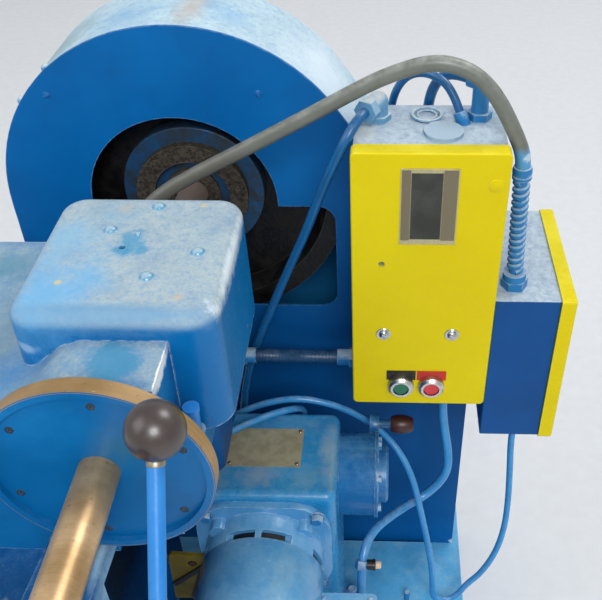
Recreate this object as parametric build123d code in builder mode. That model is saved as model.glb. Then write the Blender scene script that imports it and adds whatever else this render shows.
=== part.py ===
"""Drive end of a four-slide wire forming machine.

Millimetres, +Z up. The origin is on the floor, straight below the main shaft, in the plane of the
wheel guard's front face. The operator stands on the -Y side, and +X is to the operator's right.
"""

import math
import os

from build123d import *

os.makedirs("parts", exist_ok=True)

# General clearances and sheet sizes
RUNNING = 0.05
SEAT = 0.3
SHEET = 3.0
FREE = 6.0
SEAT_LAP = 4.0

# Main shaft, along Y above the origin
SHAFT_Z = 893.0
SHAFT_DIAMETER = 39.0
SHAFT_FRONT = -800.0
SHAFT_REAR = 112.0
SHAFT_END_DIAMETER = 35.0
SHAFT_END_LENGTH = 44.0
SHAFT_CHAMFER = 2.0

# Base frame under the guard and the drive unit
BASE_TOP = 157.0
BASE_PLATE = 12.0
BASE_RIGHT = 402.0
BASE_LEFT = -250.0
BASE_FRONT = -420.0
RAIL_WIDTH = 60.0
PAD_HEIGHT = 12.0
PAD_LEFT = -22.0
PAD_FRONT = -380.0
PAD_WIDTH = 374.0
PAD_DEPTH = 372.0
PAD_CORNER = 6.0
BASE_OVERHANG = 10.0
BASE_CORNER = 12.0
BASE_CHAMFER = 1.5
RAIL_CORNER = 5.0
RAIL_INSET = 4.0
RAIL_PLAY = 0.5

# Machine bed and its leg
BED_LEFT = -330.0
BED_TOP = 740.0
BED_BOTTOM = 640.0
BED_REAR = -40.0
BED_STEP = -430.0
BED_FRONT = -780.0
BED_RIGHT_REAR = 55.0
BED_RIGHT_FRONT = -14.0
WAY_TOP = 775.0
WAY_WIDTH = 62.0
WAY_FLARE = 12.0
WAY_TAPER = 4.0
WAY_LIP = 20.0
BED_CORNER = 14.0
BED_NECK = -476.0
BED_WAIST = -60.0
BED_SHOULDER = -240.0
LEG_RIGHT = -62.0
LEG_FRONT = -740.0
LEG_REAR = -70.0
LEG_STEP = 15.0
LEG_FLANGE = 28.0
LEG_CORNER = 24.0
PANEL_SIDE = 100.0
PANEL_END = 130.0
PANEL_LIFT = 10.0
PANEL_CORNER = 40.0
PANEL_DEPTH = 20.0

# Corner bearing bracket at the rear of the bed
DECK_Z = 934.0
CROWN_Z = 975.0
CROWN_LEFT = -16.0
CROWN_RIGHT = 57.0
BRACKET_FRONT = -428.0
BRACKET_REAR = -150.0
BEARING_LENGTH = 78.0
BEARING_BOSS = 38.0
BEARING_FOOT = 90.0
GEAR_PIT = 60.0
CROWN_GAP = 6.0
DECK_LAP = 12.0
KNEE_HEIGHT = 32.0
LUG_TOP = 880.0
LUG_HEIGHT = 28.0
LUG_RIGHT = 84.0
LUG_DEPTH = 20.0
LUG_CORNER = 8.0
PLUG_PLACE = (74.0, -385.0)
PLUG_RADIUS = 7.0
PLUG_HEIGHT = 26.0
PLUG_HEAD_RADIUS = 8.0
PLUG_HEAD_HEIGHT = 6.0

# Cast cover over the corner gears
COVER_TOP = 1000.0
COVER_LEFT = -97.0
COVER_RIGHT = 105.0
COVER_FRONT = -366.0
COVER_REAR = -150.0
COVER_SKIRT = 860.0
COVER_DRAFT = 1.0
COVER_WALL = 8.0
COVER_CORNER = 30.0
COVER_EDGE = 14.0
COVER_HOLE = (-8.0, -252.0)
COVER_HOLE_RADIUS = 3.5

# Disc on the shaft, in front of the bracket
DISC_RADIUS = 106.0
DISC_FRONT = -454.0
DISC_REAR = -436.0
DISC_RIM = 8.0
DISC_RECESS = 6.0

# Front bearing bracket and clutch lever
FRONT_BRACKET_FRONT = -750.0
FRONT_BRACKET_REAR = -690.0
FRONT_BRACKET_LEFT = -100.0
FRONT_CAP_HALF = 45.0
FRONT_CAP_TOP = 963.0
FRONT_SHOULDER_Z = 863.0
FRONT_HEEL = 20.0
LEVER_X = 95.0
LEVER_PIVOT_Z = 790.0
LEVER_PIVOT_Y = -706.0
LEVER_LEAN = 33.2
LEVER_LENGTH = 308.0
LEVER_ROD = 13.2
LEVER_BALL = 44.5
LEVER_HUB_DIAMETER = 36.0
LEVER_HUB_WIDTH = 24.0
LEVER_PIN = 18.0
LEVER_PLAY = 0.5
LEVER_SOCKET = 2.0
PIN_COLLAR = 5.0
PIN_HEAD = 4.0

# Wheel guard
GUARD_RADIUS = 238.0
GUARD_DEPTH = 141.0
GUARD_RIGHT = 389.0
GUARD_SLOPE = 35.0
CUTOUT_RADIUS = 122.6
CUTOUT_X = -6.5
LOBE_RIGHT = 191.0
LOBE_TOP = 889.0
LOBE_BOTTOM = 721.0
LOBE_NECK = 24.0
LOBE_INNER = 60.0

# Flywheel and clutch hub
WHEEL_RADIUS = 205.0
WHEEL_FRONT = 26.0
WHEEL_FACE = 76.0
WHEEL_RIM = 26.0
WHEEL_WEB = 14.0
WHEEL_DRAFT = 8.0
WHEEL_HUB = 44.0
HUB_RADIUS = 94.5
HUB_FRONT = 30.0
HUB_EDGE = 2.0
HUB_SEAT = 6.0
HUB_SEAT_INSET = 20.0
RING_RADIUS = 74.0
RING_WIDTH = 24.0
RING_FRONT = 18.0
RING_GAP = 14.0

# Belt and the drive unit's pulley
BELT_WIDTH = 50.0
BELT_THICKNESS = 6.0
PULLEY_RADIUS = 62.0
PULLEY_Z = 300.0
PULLEY_OVERHANG = 5.0
OUTPUT_DIAMETER = 32.0

# Drive unit: speed reducer with a flanged motor
UNIT_X = 100.0
CASE_WIDTH = 194.0
CASE_FRONT = -250.0
CASE_REAR = -98.0
CASE_TOP = 605.0
CASE_CORNER = 14.0
CASE_EDGE = 11.0
CASE_FOOT = 20.0
FOOT_REACH = 25.0
FOOT_INSET = 10.0
FOOT_CORNER = 8.0
PLATE_PLACE = (97.0, -167.0)
PLATE_LENGTH = 101.0
PLATE_DEPTH = 68.0
PLATE_THICKNESS = 1.0
BELL_Y = -152.0
BELL_Z = 536.0
BELL_RADIUS = 58.0
BELL_LENGTH = 50.0
BELL_RING = 5.0
BELL_RING_LIP = 3.0
CAP_RADIUS = 40.0
CAP_LENGTH = 14.0
CAP_CHAMFER = 3.0
KNOB_Y = -104.0
KNOB_Z = 588.0
KNOB_LUG = 14.0
KNOB_LUG_DEPTH = 8.0
KNOB_STUB = 13.0
KNOB_REACH = 72.0
KNOB_SECTIONS = ((0.0, 11.0), (14.0, 14.0), (32.0, 9.0))
MOTOR_Z = 504.0
MOTOR_DIAMETER = 165.0
MOTOR_FLANGE = 180.0
MOTOR_FLANGE_CORNER = 52.0
MOTOR_FLANGE_THICKNESS = 10.0
MOTOR_BELL_LENGTH = 41.0
MOTOR_BELL_STEP = 2.0
MOTOR_LUG_RADIUS = 12.0
MOTOR_LUG_LENGTH = 16.0
MOTOR_LUG_INSET = 4.0
MOTOR_VENT_DEPTH = 16.0
MOTOR_VENT_WIDTH = 38.0
MOTOR_VENT_BRIDGE = 8.0
MOTOR_VENT_LENGTH = 12.0
MOTOR_VENT_LAND = 3.0
MOTOR_DRUM_LENGTH = 200.0
MOTOR_COWL_LENGTH = 48.0
MOTOR_COWL_STEP = 3.0
MOTOR_COWL_EDGE = 14.0
TERMINAL_X = 214.0
TERMINAL_Y = -372.0
TERMINAL_Z = 444.0
TERMINAL_WIDTH = 76.0
TERMINAL_DEPTH = 84.0
TERMINAL_HEIGHT = 70.0
TERMINAL_CORNER = 6.0

# Starter box on the guard
STARTER_LEFT = 216.2
STARTER_WIDTH = 178.0
STARTER_HEIGHT = 387.0
STARTER_TOP = 1037.0
STARTER_FRONT = -122.6
STARTER_REAR = 0.0
STARTER_COVER_DEPTH = 20.5
STARTER_SKIN = 4.0
STARTER_LIP = 3.0
STARTER_CORNER = 7.0
STARTER_EDGE = 2.5
SPARE_HOLE_X = 252.5
SPARE_HOLE_DROP = 150.4
SPARE_HOLE_RADIUS = 4.0
SPARE_HOLE_DEPTH = 20.0
TOP_CAP = (321.0, -71.0)
TOP_CAP_RADIUS = 22.5
TOP_CAP_HEIGHT = 4.5
TOP_KNOCKOUT = (303.0, -31.0)
KNOCKOUT_RADIUS = 16.0
KNOCKOUT_GROOVE = 1.5
KNOCKOUT_DEPTH = 1.0
BUTTON_X = (280.6, 321.0)
BUTTON_RISE = 38.0
BUTTON_WELL = 30.0
BUTTON_RING = 16.8
BUTTON_RING_HEIGHT = 12.0
BUTTON_RING_CHAMFER = 3.0
BUTTON_RADIUS = 10.0
BUTTON_GAP = 0.6
BUTTON_TRAVEL = 3.0
BUTTON_SINK = 1.5
BUTTON_EDGE = 1.0
LEGEND_WIDTH = 38.6
LEGEND_HEIGHT = 16.0
LEGEND_RISE = 16.0
LEGEND_THICKNESS = 1.2
WINDOW_LEFT = 271.5
WINDOW_DROP = 21.0
WINDOW_WIDTH = 70.0
WINDOW_HEIGHT = 100.0
WINDOW_THICKNESS = 1.5
PANE_WIDTH = 40.0
PANE_HEIGHT = 87.0
PANE_PLACE = (-1.0, 2.0)
PANE_DEPTH = 0.8

# Side box beside the starter
SIDE_WIDTH = 82.0
SIDE_TOP = 830.0
SIDE_BOTTOM = 589.0
SIDE_FRONT = -120.0
SIDE_REAR = 86.0
SIDE_CORNER = 2.0
SEAT_PAD_RISE = 80.0
SEAT_PAD_MARGIN = 20.0
SEAT_PAD_HEIGHT = 130.0
LID_THICKNESS = 19.0
LID_LAP = 3.0
LID_CORNER = 5.0
LID_EDGE = 3.0

# Strain relief on the side box
RELIEF_X = 420.0
RELIEF_Y = -87.0
RELIEF_LEAN = -0.048
RELIEF_NUT = 17.0
RELIEF_NUT_HEIGHT = 22.0
RELIEF_HEX_SHARE = 0.55
RELIEF_COLLAR = 14.5
RELIEF_SPRING = 10.5
RELIEF_SPRING_LENGTH = 134.0
RELIEF_FERRULE = 16.0
RELIEF_FERRULE_RADIUS = 11.5
RELIEF_LEAD = 14.0

# Connectors on the starter box's top
LEFT_CONNECTOR = (246.0, -36.0)
LEFT_MOUTH_RISE = 22.0
LEFT_HEADING = (-0.447, -0.894, 0.0)
LEFT_REACH = 32.0
LEFT_HEX = 16.0
LEFT_HEX_HEIGHT = 7.0
LEFT_BODY = 12.0
LEFT_NUT = 14.5
LEFT_NUT_LENGTH = 12.0
RIGHT_CONNECTOR = (364.0, -32.0)
RIGHT_MOUTH_RISE = 44.0
RIGHT_HEADING = (-0.83, 0.55, 0.08)
RIGHT_REACH = 16.0
RIGHT_HEX = 15.0
RIGHT_HEX_HEIGHT = 9.0
RIGHT_BODY = 10.0
BUSH_PLACE = (345.0, -45.0)
BUSH_HEADING = (-0.35, 0.3, 0.89)
BUSH_RADIUS = 8.0
BUSH_REACH = 14.0
BUSH_ROOT = 6.0

# Stubs on the guard's sloped side that the two jumpers end on
STUB_BOTTOM = 840.0
FAT_STUB = (308.0, 24.0)
FAT_STUB_TOP = 905.0
FAT_STUB_RADIUS = 11.0
THIN_STUB = (262.0, 26.0)
THIN_STUB_TOP = 965.0
THIN_STUB_RADIUS = 9.0

# Yellow bracket on the motor's flange
YELLOW_THICKNESS = 6.0
YELLOW_OUTLINE = ((-34.0, 495.0), (17.0, 491.0), (4.0, 390.0), (-39.0, 388.0))
YELLOW_CORNER = 5.0
YELLOW_HOLE = (-4.0, 474.0)
YELLOW_HOLE_RADIUS = 7.0

# Glands: a hexagon foot and a round neck, each with its place, length and hexagon radius
GLAND_HEX_SHARE = 0.4
GLAND_NECK_SHARE = 0.8
LEG_GLAND = 20.0
LEG_GLAND_RADIUS = 10.0
LEG_GLAND_HIGH = (-98.0, 545.0)
LEG_GLAND_LOW = (-171.0, 564.0)
CONDUIT_GLAND = 28.0
CONDUIT_GLAND_RADIUS = 15.0
CONDUIT_GLAND_RISE = 8.0
CONDUIT_Y = -40.0
BED_GLAND = 22.0
BED_GLAND_RADIUS = 14.0
BED_GLAND_PLACE = (-58.0, 676.0)
SIDE_GLAND = 24.0
SIDE_GLAND_RADIUS = 10.0
SIDE_GLAND_PLACE = (449.0, -80.0)
BOX_GLAND = 30.0
BOX_GLAND_RADIUS = 12.0
BOX_GLAND_PLACE = (345.0, -60.0)
DECK_GLAND = 24.0
DECK_GLAND_RADIUS = 15.0
DECK_GLAND_PLACE = (-72.0, -92.0)
LEFT_PAD_GLAND = 22.0
LEFT_PAD_GLAND_RADIUS = 12.0
LEFT_PAD_GLAND_PLACE = (36.0, -56.0)
RIGHT_PAD_GLAND = 20.0
RIGHT_PAD_GLAND_RADIUS = 10.0
RIGHT_PAD_GLAND_PLACE = (128.0, -52.0)
MOTOR_GLAND = 22.0
MOTOR_GLAND_RADIUS = 11.0

# Cable sizes
GREY_CABLE = 17.8
BLUE_CABLE = 12.0
LONG_CABLE = 10.0
CONDUIT = 19.0
MOTOR_CONDUIT = 13.0
JUMPER = 13.0


def export(piece, name):
    """Label a finished piece and write it to its own file."""
    piece.part.label = name
    export_step(piece.part, f"parts/{name}.step")


# Base frame
plate_bottom = BASE_TOP - BASE_PLATE
guard_strip_front = LEG_REAR - LEG_STEP
base_rear = GUARD_DEPTH + BASE_OVERHANG
with BuildPart() as base_plate:
    with BuildSketch(Plane.XY.offset(plate_bottom)) as base_outline:
        with BuildLine():
            Polyline(
                (BASE_LEFT, guard_strip_front),
                (-RAIL_WIDTH / 2, guard_strip_front),
                (-RAIL_WIDTH / 2, BASE_FRONT),
                (BASE_RIGHT, BASE_FRONT),
                (BASE_RIGHT, base_rear),
                (BASE_LEFT, base_rear),
                close=True,
            )
        make_face()
        fillet(base_outline.vertices().group_by(Axis.X)[-1], radius=BASE_CORNER)
    extrude(amount=BASE_PLATE)
    chamfer(base_plate.faces().sort_by(Axis.Z)[-1].edges(), length=BASE_CHAMFER)
    with BuildSketch(Plane.XY.offset(BASE_TOP)):
        with Locations((PAD_LEFT + PAD_WIDTH / 2, PAD_FRONT + PAD_DEPTH / 2)):
            RectangleRounded(PAD_WIDTH, PAD_DEPTH, radius=PAD_CORNER)
    extrude(amount=PAD_HEIGHT)
export(base_plate, "base_plate")

with BuildPart() as base_rails:
    rail_length = base_rear - RAIL_WIDTH - BASE_FRONT
    rail_middle = BASE_FRONT + rail_length / 2
    right_rail = BASE_RIGHT - RAIL_INSET - RAIL_WIDTH / 2
    with BuildSketch(Plane.XY):
        with Locations((0, rail_middle), (right_rail, rail_middle)):
            Rectangle(RAIL_WIDTH - 2 * RAIL_PLAY, rail_length)
    extrude(amount=plate_bottom)
    fillet(base_rails.edges().filter_by(Axis.Z), radius=RAIL_CORNER)
export(base_rails, "base_rails")

with BuildPart() as base_crossbars:
    bar_length = BASE_RIGHT - RAIL_INSET - BASE_LEFT
    rear_y = base_rear - RAIL_WIDTH / 2
    inner_left = RAIL_WIDTH / 2 - RAIL_PLAY
    inner_right = right_rail - RAIL_WIDTH / 2 + RAIL_PLAY
    with BuildSketch(Plane.XY):
        with Locations((BASE_LEFT + bar_length / 2, rear_y)):
            Rectangle(bar_length, RAIL_WIDTH)
        with Locations(((inner_left + inner_right) / 2, BASE_FRONT + RAIL_WIDTH)):
            Rectangle(inner_right - inner_left, RAIL_WIDTH)
    extrude(amount=plate_bottom)
export(base_crossbars, "base_crossbars")

# Machine bed and its leg
with BuildPart() as bed_leg:
    leg_x = (BED_LEFT + LEG_RIGHT) / 2
    leg_y = (LEG_FRONT + LEG_REAR) / 2
    leg_width = LEG_RIGHT - BED_LEFT
    leg_depth = LEG_REAR - LEG_FRONT
    with BuildSketch(Plane.XY):
        with Locations((leg_x, leg_y)):
            RectangleRounded(leg_width, leg_depth, radius=LEG_CORNER)
    extrude(amount=LEG_FLANGE)
    with BuildSketch(Plane.XY.offset(LEG_FLANGE)):
        with Locations((leg_x, leg_y)):
            RectangleRounded(
                leg_width - 2 * LEG_STEP, leg_depth - 2 * LEG_STEP, radius=LEG_CORNER
            )
    extrude(amount=BED_BOTTOM - LEG_FLANGE)
    leg_side = Plane((LEG_RIGHT - LEG_STEP, leg_y, BED_BOTTOM / 2), x_dir=(0, 1, 0), z_dir=(1, 0, 0))
    with BuildSketch(leg_side):
        with Locations((0, PANEL_LIFT)):
            RectangleRounded(
                leg_depth - 2 * PANEL_SIDE, BED_BOTTOM - 2 * PANEL_END, radius=PANEL_CORNER
            )
    extrude(amount=-PANEL_DEPTH, mode=Mode.SUBTRACT)
export(bed_leg, "bed_leg")

way_left = BED_RIGHT_FRONT - WAY_WIDTH
neck_right = BED_RIGHT_FRONT - WAY_TAPER * (BED_STEP - BED_NECK) / 100
bed_front_right = BED_RIGHT_FRONT - WAY_TAPER * (BED_STEP - BED_FRONT) / 100
way_front_right = BED_RIGHT_FRONT - WAY_TAPER * (BED_STEP - FRONT_BRACKET_REAR) / 100
way_front_left = way_front_right - WAY_WIDTH - WAY_FLARE
with BuildPart() as bed_casting:
    with BuildSketch(Plane.XY.offset(BED_BOTTOM)) as bed_outline:
        with BuildLine():
            Polyline(
                (BED_LEFT, BED_FRONT),
                (bed_front_right, BED_FRONT),
                (neck_right, BED_NECK),
                (BED_WAIST, BED_NECK),
                (BED_WAIST, BED_SHOULDER),
                (BED_RIGHT_REAR, BED_SHOULDER),
                (BED_RIGHT_REAR, BED_REAR),
                (BED_LEFT, BED_REAR),
                close=True,
            )
        make_face()
        fillet(bed_outline.vertices().group_by(Axis.X)[-1], radius=BED_CORNER)
    extrude(amount=BED_TOP - BED_BOTTOM)
    with BuildSketch(Plane.XY.offset(BED_TOP)) as way_outline:
        with BuildLine():
            Polyline(
                (way_front_left, FRONT_BRACKET_REAR),
                (way_front_right, FRONT_BRACKET_REAR),
                (BED_RIGHT_FRONT, BED_STEP),
                (way_left, BED_STEP),
                close=True,
            )
        make_face()
    extrude(amount=WAY_TOP - BED_TOP)
    with BuildSketch(Plane.XY.offset(BED_TOP)):
        with Locations(((BED_WAIST + BED_RIGHT_FRONT) / 2, (BED_NECK + BED_STEP) / 2)):
            Rectangle(BED_RIGHT_FRONT - BED_WAIST, BED_STEP - BED_NECK)
    extrude(amount=WAY_TOP - WAY_LIP - BED_TOP, mode=Mode.SUBTRACT)
export(bed_casting, "bed_casting")

# Corner bearing bracket

def crown_profile():
    """Draw the bracket's outline from the bed's top up to the deck and the crown."""
    deck_end = (COVER_LEFT - CROWN_GAP, DECK_Z)
    Line((BED_LEFT, BED_TOP), (BED_LEFT, DECK_Z))
    Line((BED_LEFT, DECK_Z), deck_end)
    Spline(deck_end, (CROWN_LEFT, CROWN_Z), tangents=((1, 0), (1, 0)))
    Line((CROWN_LEFT, CROWN_Z), (CROWN_RIGHT, CROWN_Z))
    Line((CROWN_RIGHT, CROWN_Z), (CROWN_RIGHT, BED_TOP))
    Line((CROWN_RIGHT, BED_TOP), (BED_LEFT, BED_TOP))


front_face = Plane((0, BRACKET_FRONT, 0), x_dir=(1, 0, 0), z_dir=(0, -1, 0))
bore_diameter = SHAFT_DIAMETER + 2 * RUNNING
bracket_depth = BRACKET_REAR - BRACKET_FRONT
with BuildPart() as corner_bracket:
    with BuildSketch(front_face):
        with BuildLine():
            crown_profile()
        make_face()
    extrude(amount=-BEARING_LENGTH)
    pit_floor = SHAFT_Z - GEAR_PIT
    deck_right = COVER_LEFT + DECK_LAP
    with BuildSketch(front_face.offset(-BEARING_LENGTH)):
        with Locations(((BED_LEFT + CROWN_RIGHT) / 2, (BED_TOP + pit_floor) / 2)):
            Rectangle(CROWN_RIGHT - BED_LEFT, pit_floor - BED_TOP)
        with Locations(((BED_LEFT + deck_right) / 2, (BED_TOP + DECK_Z) / 2)):
            Rectangle(deck_right - BED_LEFT, DECK_Z - BED_TOP)
    extrude(amount=-(bracket_depth - BEARING_LENGTH))
    with BuildSketch(front_face.offset(BEARING_LENGTH / 2 - bracket_depth)):
        with Locations((0, (BED_TOP + SHAFT_Z) / 2)):
            Rectangle(BEARING_FOOT, SHAFT_Z - BED_TOP)
        with Locations((0, SHAFT_Z)):
            Circle(BEARING_BOSS)
    extrude(amount=-BEARING_LENGTH / 2)
    with BuildSketch(Plane.XY.offset(LUG_TOP)):
        with Locations((CROWN_RIGHT, PLUG_PLACE[1])):
            RectangleRounded(2 * (LUG_RIGHT - CROWN_RIGHT), LUG_DEPTH, radius=LUG_CORNER)
    extrude(amount=-LUG_HEIGHT)
    with BuildSketch(front_face):
        with Locations(((BED_RIGHT_FRONT + CROWN_RIGHT) / 2, BED_TOP + KNEE_HEIGHT / 2)):
            Rectangle(CROWN_RIGHT - BED_RIGHT_FRONT, KNEE_HEIGHT)
    extrude(amount=-BEARING_LENGTH, mode=Mode.SUBTRACT)
    with BuildSketch(front_face):
        with Locations((0, SHAFT_Z)):
            Circle(bore_diameter / 2)
    extrude(amount=-bracket_depth, mode=Mode.SUBTRACT)
export(corner_bracket, "corner_bracket")

with BuildPart() as oil_plug:
    with BuildSketch(Plane.XY.offset(LUG_TOP)):
        with Locations(PLUG_PLACE):
            Circle(PLUG_RADIUS)
    extrude(amount=PLUG_HEIGHT)
    with BuildSketch(Plane.XY.offset(LUG_TOP + PLUG_HEIGHT)):
        with Locations(PLUG_PLACE):
            Circle(PLUG_HEAD_RADIUS)
    extrude(amount=PLUG_HEAD_HEIGHT)
export(oil_plug, "oil_plug")

# Cast gear cover
cover_x = (COVER_LEFT + COVER_RIGHT) / 2
cover_y = (COVER_FRONT + COVER_REAR) / 2
with BuildPart() as gear_cover:
    with BuildSketch(Plane.XY.offset(COVER_SKIRT)):
        with Locations((cover_x, cover_y)):
            RectangleRounded(
                COVER_RIGHT - COVER_LEFT, COVER_REAR - COVER_FRONT, radius=COVER_CORNER
            )
    extrude(amount=COVER_TOP - COVER_SKIRT, taper=COVER_DRAFT)
    fillet(gear_cover.faces().sort_by(Axis.Z)[-1].edges(), radius=COVER_EDGE)
    with BuildSketch(Plane.XY.offset(COVER_SKIRT)):
        with Locations((cover_x, cover_y)):
            RectangleRounded(
                COVER_RIGHT - COVER_LEFT - 2 * COVER_WALL,
                COVER_REAR - COVER_FRONT - 2 * COVER_WALL,
                radius=COVER_CORNER - COVER_WALL,
            )
    extrude(
        amount=COVER_TOP - COVER_WALL - COVER_SKIRT, taper=COVER_DRAFT, mode=Mode.SUBTRACT
    )
    with BuildSketch(front_face):
        with BuildLine():
            crown_profile()
        make_face()
    extrude(amount=-(bracket_depth + BEARING_LENGTH), mode=Mode.SUBTRACT)
    with Locations((*COVER_HOLE, COVER_TOP)):
        Hole(radius=COVER_HOLE_RADIUS, depth=2 * COVER_WALL)
export(gear_cover, "gear_cover")

# Shaft and the disc it carries
shoulder_y = SHAFT_FRONT + SHAFT_END_LENGTH
with BuildPart() as drive_shaft:
    with BuildSketch(Plane((0, shoulder_y, SHAFT_Z), x_dir=(1, 0, 0), z_dir=(0, -1, 0))):
        Circle(SHAFT_DIAMETER / 2)
    extrude(amount=shoulder_y - SHAFT_REAR)
    with BuildSketch(Plane((0, shoulder_y, SHAFT_Z), x_dir=(1, 0, 0), z_dir=(0, -1, 0))):
        Circle(SHAFT_END_DIAMETER / 2)
    extrude(amount=SHAFT_END_LENGTH)
    shaft_ends = drive_shaft.edges().filter_by(GeomType.CIRCLE).sort_by(Axis.Y)
    chamfer([shaft_ends[0], shaft_ends[-1]], length=SHAFT_CHAMFER)
export(drive_shaft, "drive_shaft")

disc_plane = Plane((0, DISC_FRONT, SHAFT_Z), x_dir=(1, 0, 0), z_dir=(0, -1, 0))
with BuildPart() as front_disc:
    with BuildSketch(disc_plane):
        Circle(DISC_RADIUS)
        Circle(SHAFT_DIAMETER / 2, mode=Mode.SUBTRACT)
    extrude(amount=-(DISC_REAR - DISC_FRONT))
    with BuildSketch(disc_plane):
        Circle(DISC_RADIUS - DISC_RIM)
        Circle(SHAFT_DIAMETER / 2, mode=Mode.SUBTRACT)
    extrude(amount=-DISC_RECESS, mode=Mode.SUBTRACT)
export(front_disc, "front_disc")

# Front bearing bracket and clutch lever
front_plane = Plane((0, FRONT_BRACKET_FRONT, 0), x_dir=(1, 0, 0), z_dir=(0, -1, 0))
with BuildPart() as front_bracket:
    with BuildSketch(front_plane) as front_outline:
        with BuildLine():
            Polyline(
                (FRONT_BRACKET_LEFT, BED_TOP),
                (FRONT_BRACKET_LEFT, FRONT_SHOULDER_Z),
                (-FRONT_CAP_HALF, FRONT_CAP_TOP),
                (FRONT_CAP_HALF, FRONT_CAP_TOP),
                (CROWN_RIGHT, SHAFT_Z),
                (CROWN_RIGHT, BED_TOP + FRONT_HEEL),
                (bed_front_right, BED_TOP),
                close=True,
            )
        make_face()
        with Locations((0, SHAFT_Z)):
            Circle(SHAFT_DIAMETER / 2 + RUNNING, mode=Mode.SUBTRACT)
    extrude(amount=-(FRONT_BRACKET_REAR - FRONT_BRACKET_FRONT))
export(front_bracket, "front_bracket")

# Wheel guard
slope = math.radians(GUARD_SLOPE)
guard_plane = Plane((0, 0, 0), x_dir=(1, 0, 0), z_dir=(0, -1, 0))


def guard_outline(inset):
    """Draw the guard's outline, moved inward by inset, standing on the base."""
    radius = GUARD_RADIUS - inset
    start = (radius * math.cos(slope), SHAFT_Z + radius * math.sin(slope))
    drop = (GUARD_RIGHT - inset - start[0]) / math.tan(slope)
    shoulder = (GUARD_RIGHT - inset, start[1] - drop)
    Line((GUARD_RIGHT - inset, BASE_TOP), shoulder)
    Line(shoulder, start)
    CenterArc((0, SHAFT_Z), radius, GUARD_SLOPE, 180 - GUARD_SLOPE)
    Line((-radius, SHAFT_Z), (-radius, BASE_TOP))
    Line((-radius, BASE_TOP), (GUARD_RIGHT - inset, BASE_TOP))


with BuildPart() as guard_front:
    with BuildSketch(guard_plane) as guard_face:
        with BuildLine():
            guard_outline(0)
        make_face()
    extrude(amount=-SHEET)
    with BuildSketch(guard_plane) as cutout:
        with Locations((CUTOUT_X, SHAFT_Z)):
            Circle(CUTOUT_RADIUS)
        with Locations(((LOBE_RIGHT - LOBE_INNER) / 2, (LOBE_TOP + LOBE_BOTTOM) / 2)):
            Rectangle(LOBE_RIGHT + LOBE_INNER, LOBE_TOP - LOBE_BOTTOM)
        corners = cutout.vertices().filter_by(
            lambda v: v.X > LOBE_RIGHT - 1 or v.Z > LOBE_TOP - 1
        )
        fillet(corners, radius=LOBE_NECK)
        with Locations((UNIT_X, PULLEY_Z)):
            Circle(OUTPUT_DIAMETER / 2 + FREE)
    extrude(amount=-SHEET, mode=Mode.SUBTRACT)
export(guard_front, "guard_front")

with BuildPart() as guard_wrapper:
    with BuildSketch(guard_plane.offset(-SHEET)):
        with BuildLine():
            guard_outline(0)
        make_face()
    extrude(amount=-(GUARD_DEPTH - SHEET))
    with BuildSketch(guard_plane.offset(-SHEET)):
        with BuildLine():
            guard_outline(SHEET)
        make_face()
    extrude(amount=-(GUARD_DEPTH - 2 * SHEET), mode=Mode.SUBTRACT)
export(guard_wrapper, "guard_wrapper")

# Flywheel and the clutch hub on its front
with BuildPart() as flywheel:
    with BuildSketch(Plane.YZ) as wheel_section:
        rim_bottom = WHEEL_RADIUS - WHEEL_RIM
        web_y = WHEEL_FRONT + (WHEEL_FACE - WHEEL_WEB) / 2
        with BuildLine():
            Polyline(
                (WHEEL_FRONT, SHAFT_Z + rim_bottom),
                (WHEEL_FRONT, SHAFT_Z + WHEEL_RADIUS),
                (WHEEL_FRONT + WHEEL_FACE, SHAFT_Z + WHEEL_RADIUS),
                (WHEEL_FRONT + WHEEL_FACE, SHAFT_Z + rim_bottom),
                (web_y + WHEEL_WEB, SHAFT_Z + rim_bottom - WHEEL_DRAFT),
                (web_y + WHEEL_WEB, SHAFT_Z + WHEEL_HUB + WHEEL_DRAFT),
                (WHEEL_FRONT + WHEEL_FACE, SHAFT_Z + WHEEL_HUB),
                (WHEEL_FRONT + WHEEL_FACE, SHAFT_Z + SHAFT_DIAMETER / 2),
                (web_y - HUB_SEAT, SHAFT_Z + SHAFT_DIAMETER / 2),
                (web_y - HUB_SEAT, SHAFT_Z + HUB_RADIUS - HUB_SEAT_INSET),
                (web_y, SHAFT_Z + HUB_RADIUS - HUB_SEAT_INSET + HUB_SEAT),
                (web_y, SHAFT_Z + rim_bottom - WHEEL_DRAFT),
                close=True,
            )
        make_face()
    revolve(axis=Axis((0, 0, SHAFT_Z), (0, 1, 0)))
export(flywheel, "flywheel")

hub_plane = Plane((0, HUB_FRONT, SHAFT_Z), x_dir=(1, 0, 0), z_dir=(0, -1, 0))
with BuildPart() as clutch_hub:
    with BuildSketch(hub_plane):
        Circle(HUB_RADIUS)
        Circle(SHAFT_DIAMETER / 2, mode=Mode.SUBTRACT)
    extrude(amount=HUB_FRONT - web_y + HUB_SEAT)
    fillet(clutch_hub.edges().filter_by(GeomType.CIRCLE).sort_by(Axis.Y)[0], radius=HUB_EDGE)
export(clutch_hub, "clutch_hub")

with BuildPart() as hub_ring:
    with BuildSketch(hub_plane):
        Circle(RING_RADIUS)
        Circle(RING_RADIUS - RING_WIDTH, mode=Mode.SUBTRACT)
    extrude(amount=HUB_FRONT - RING_FRONT)
    with BuildSketch(hub_plane):
        Circle(RING_RADIUS - RING_WIDTH - RING_GAP)
        Circle(SHAFT_DIAMETER / 2, mode=Mode.SUBTRACT)
    extrude(amount=(HUB_FRONT - RING_FRONT) / 2)
export(hub_ring, "hub_ring")

# Belt from the drive unit's pulley up to the flywheel
belt_y = WHEEL_FRONT + (WHEEL_FACE - BELT_WIDTH) / 2
belt_plane = Plane((0, belt_y, 0), x_dir=(1, 0, 0), z_dir=(0, -1, 0))
wheel_track = WHEEL_RADIUS + SEAT
pulley_track = PULLEY_RADIUS + SEAT


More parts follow.
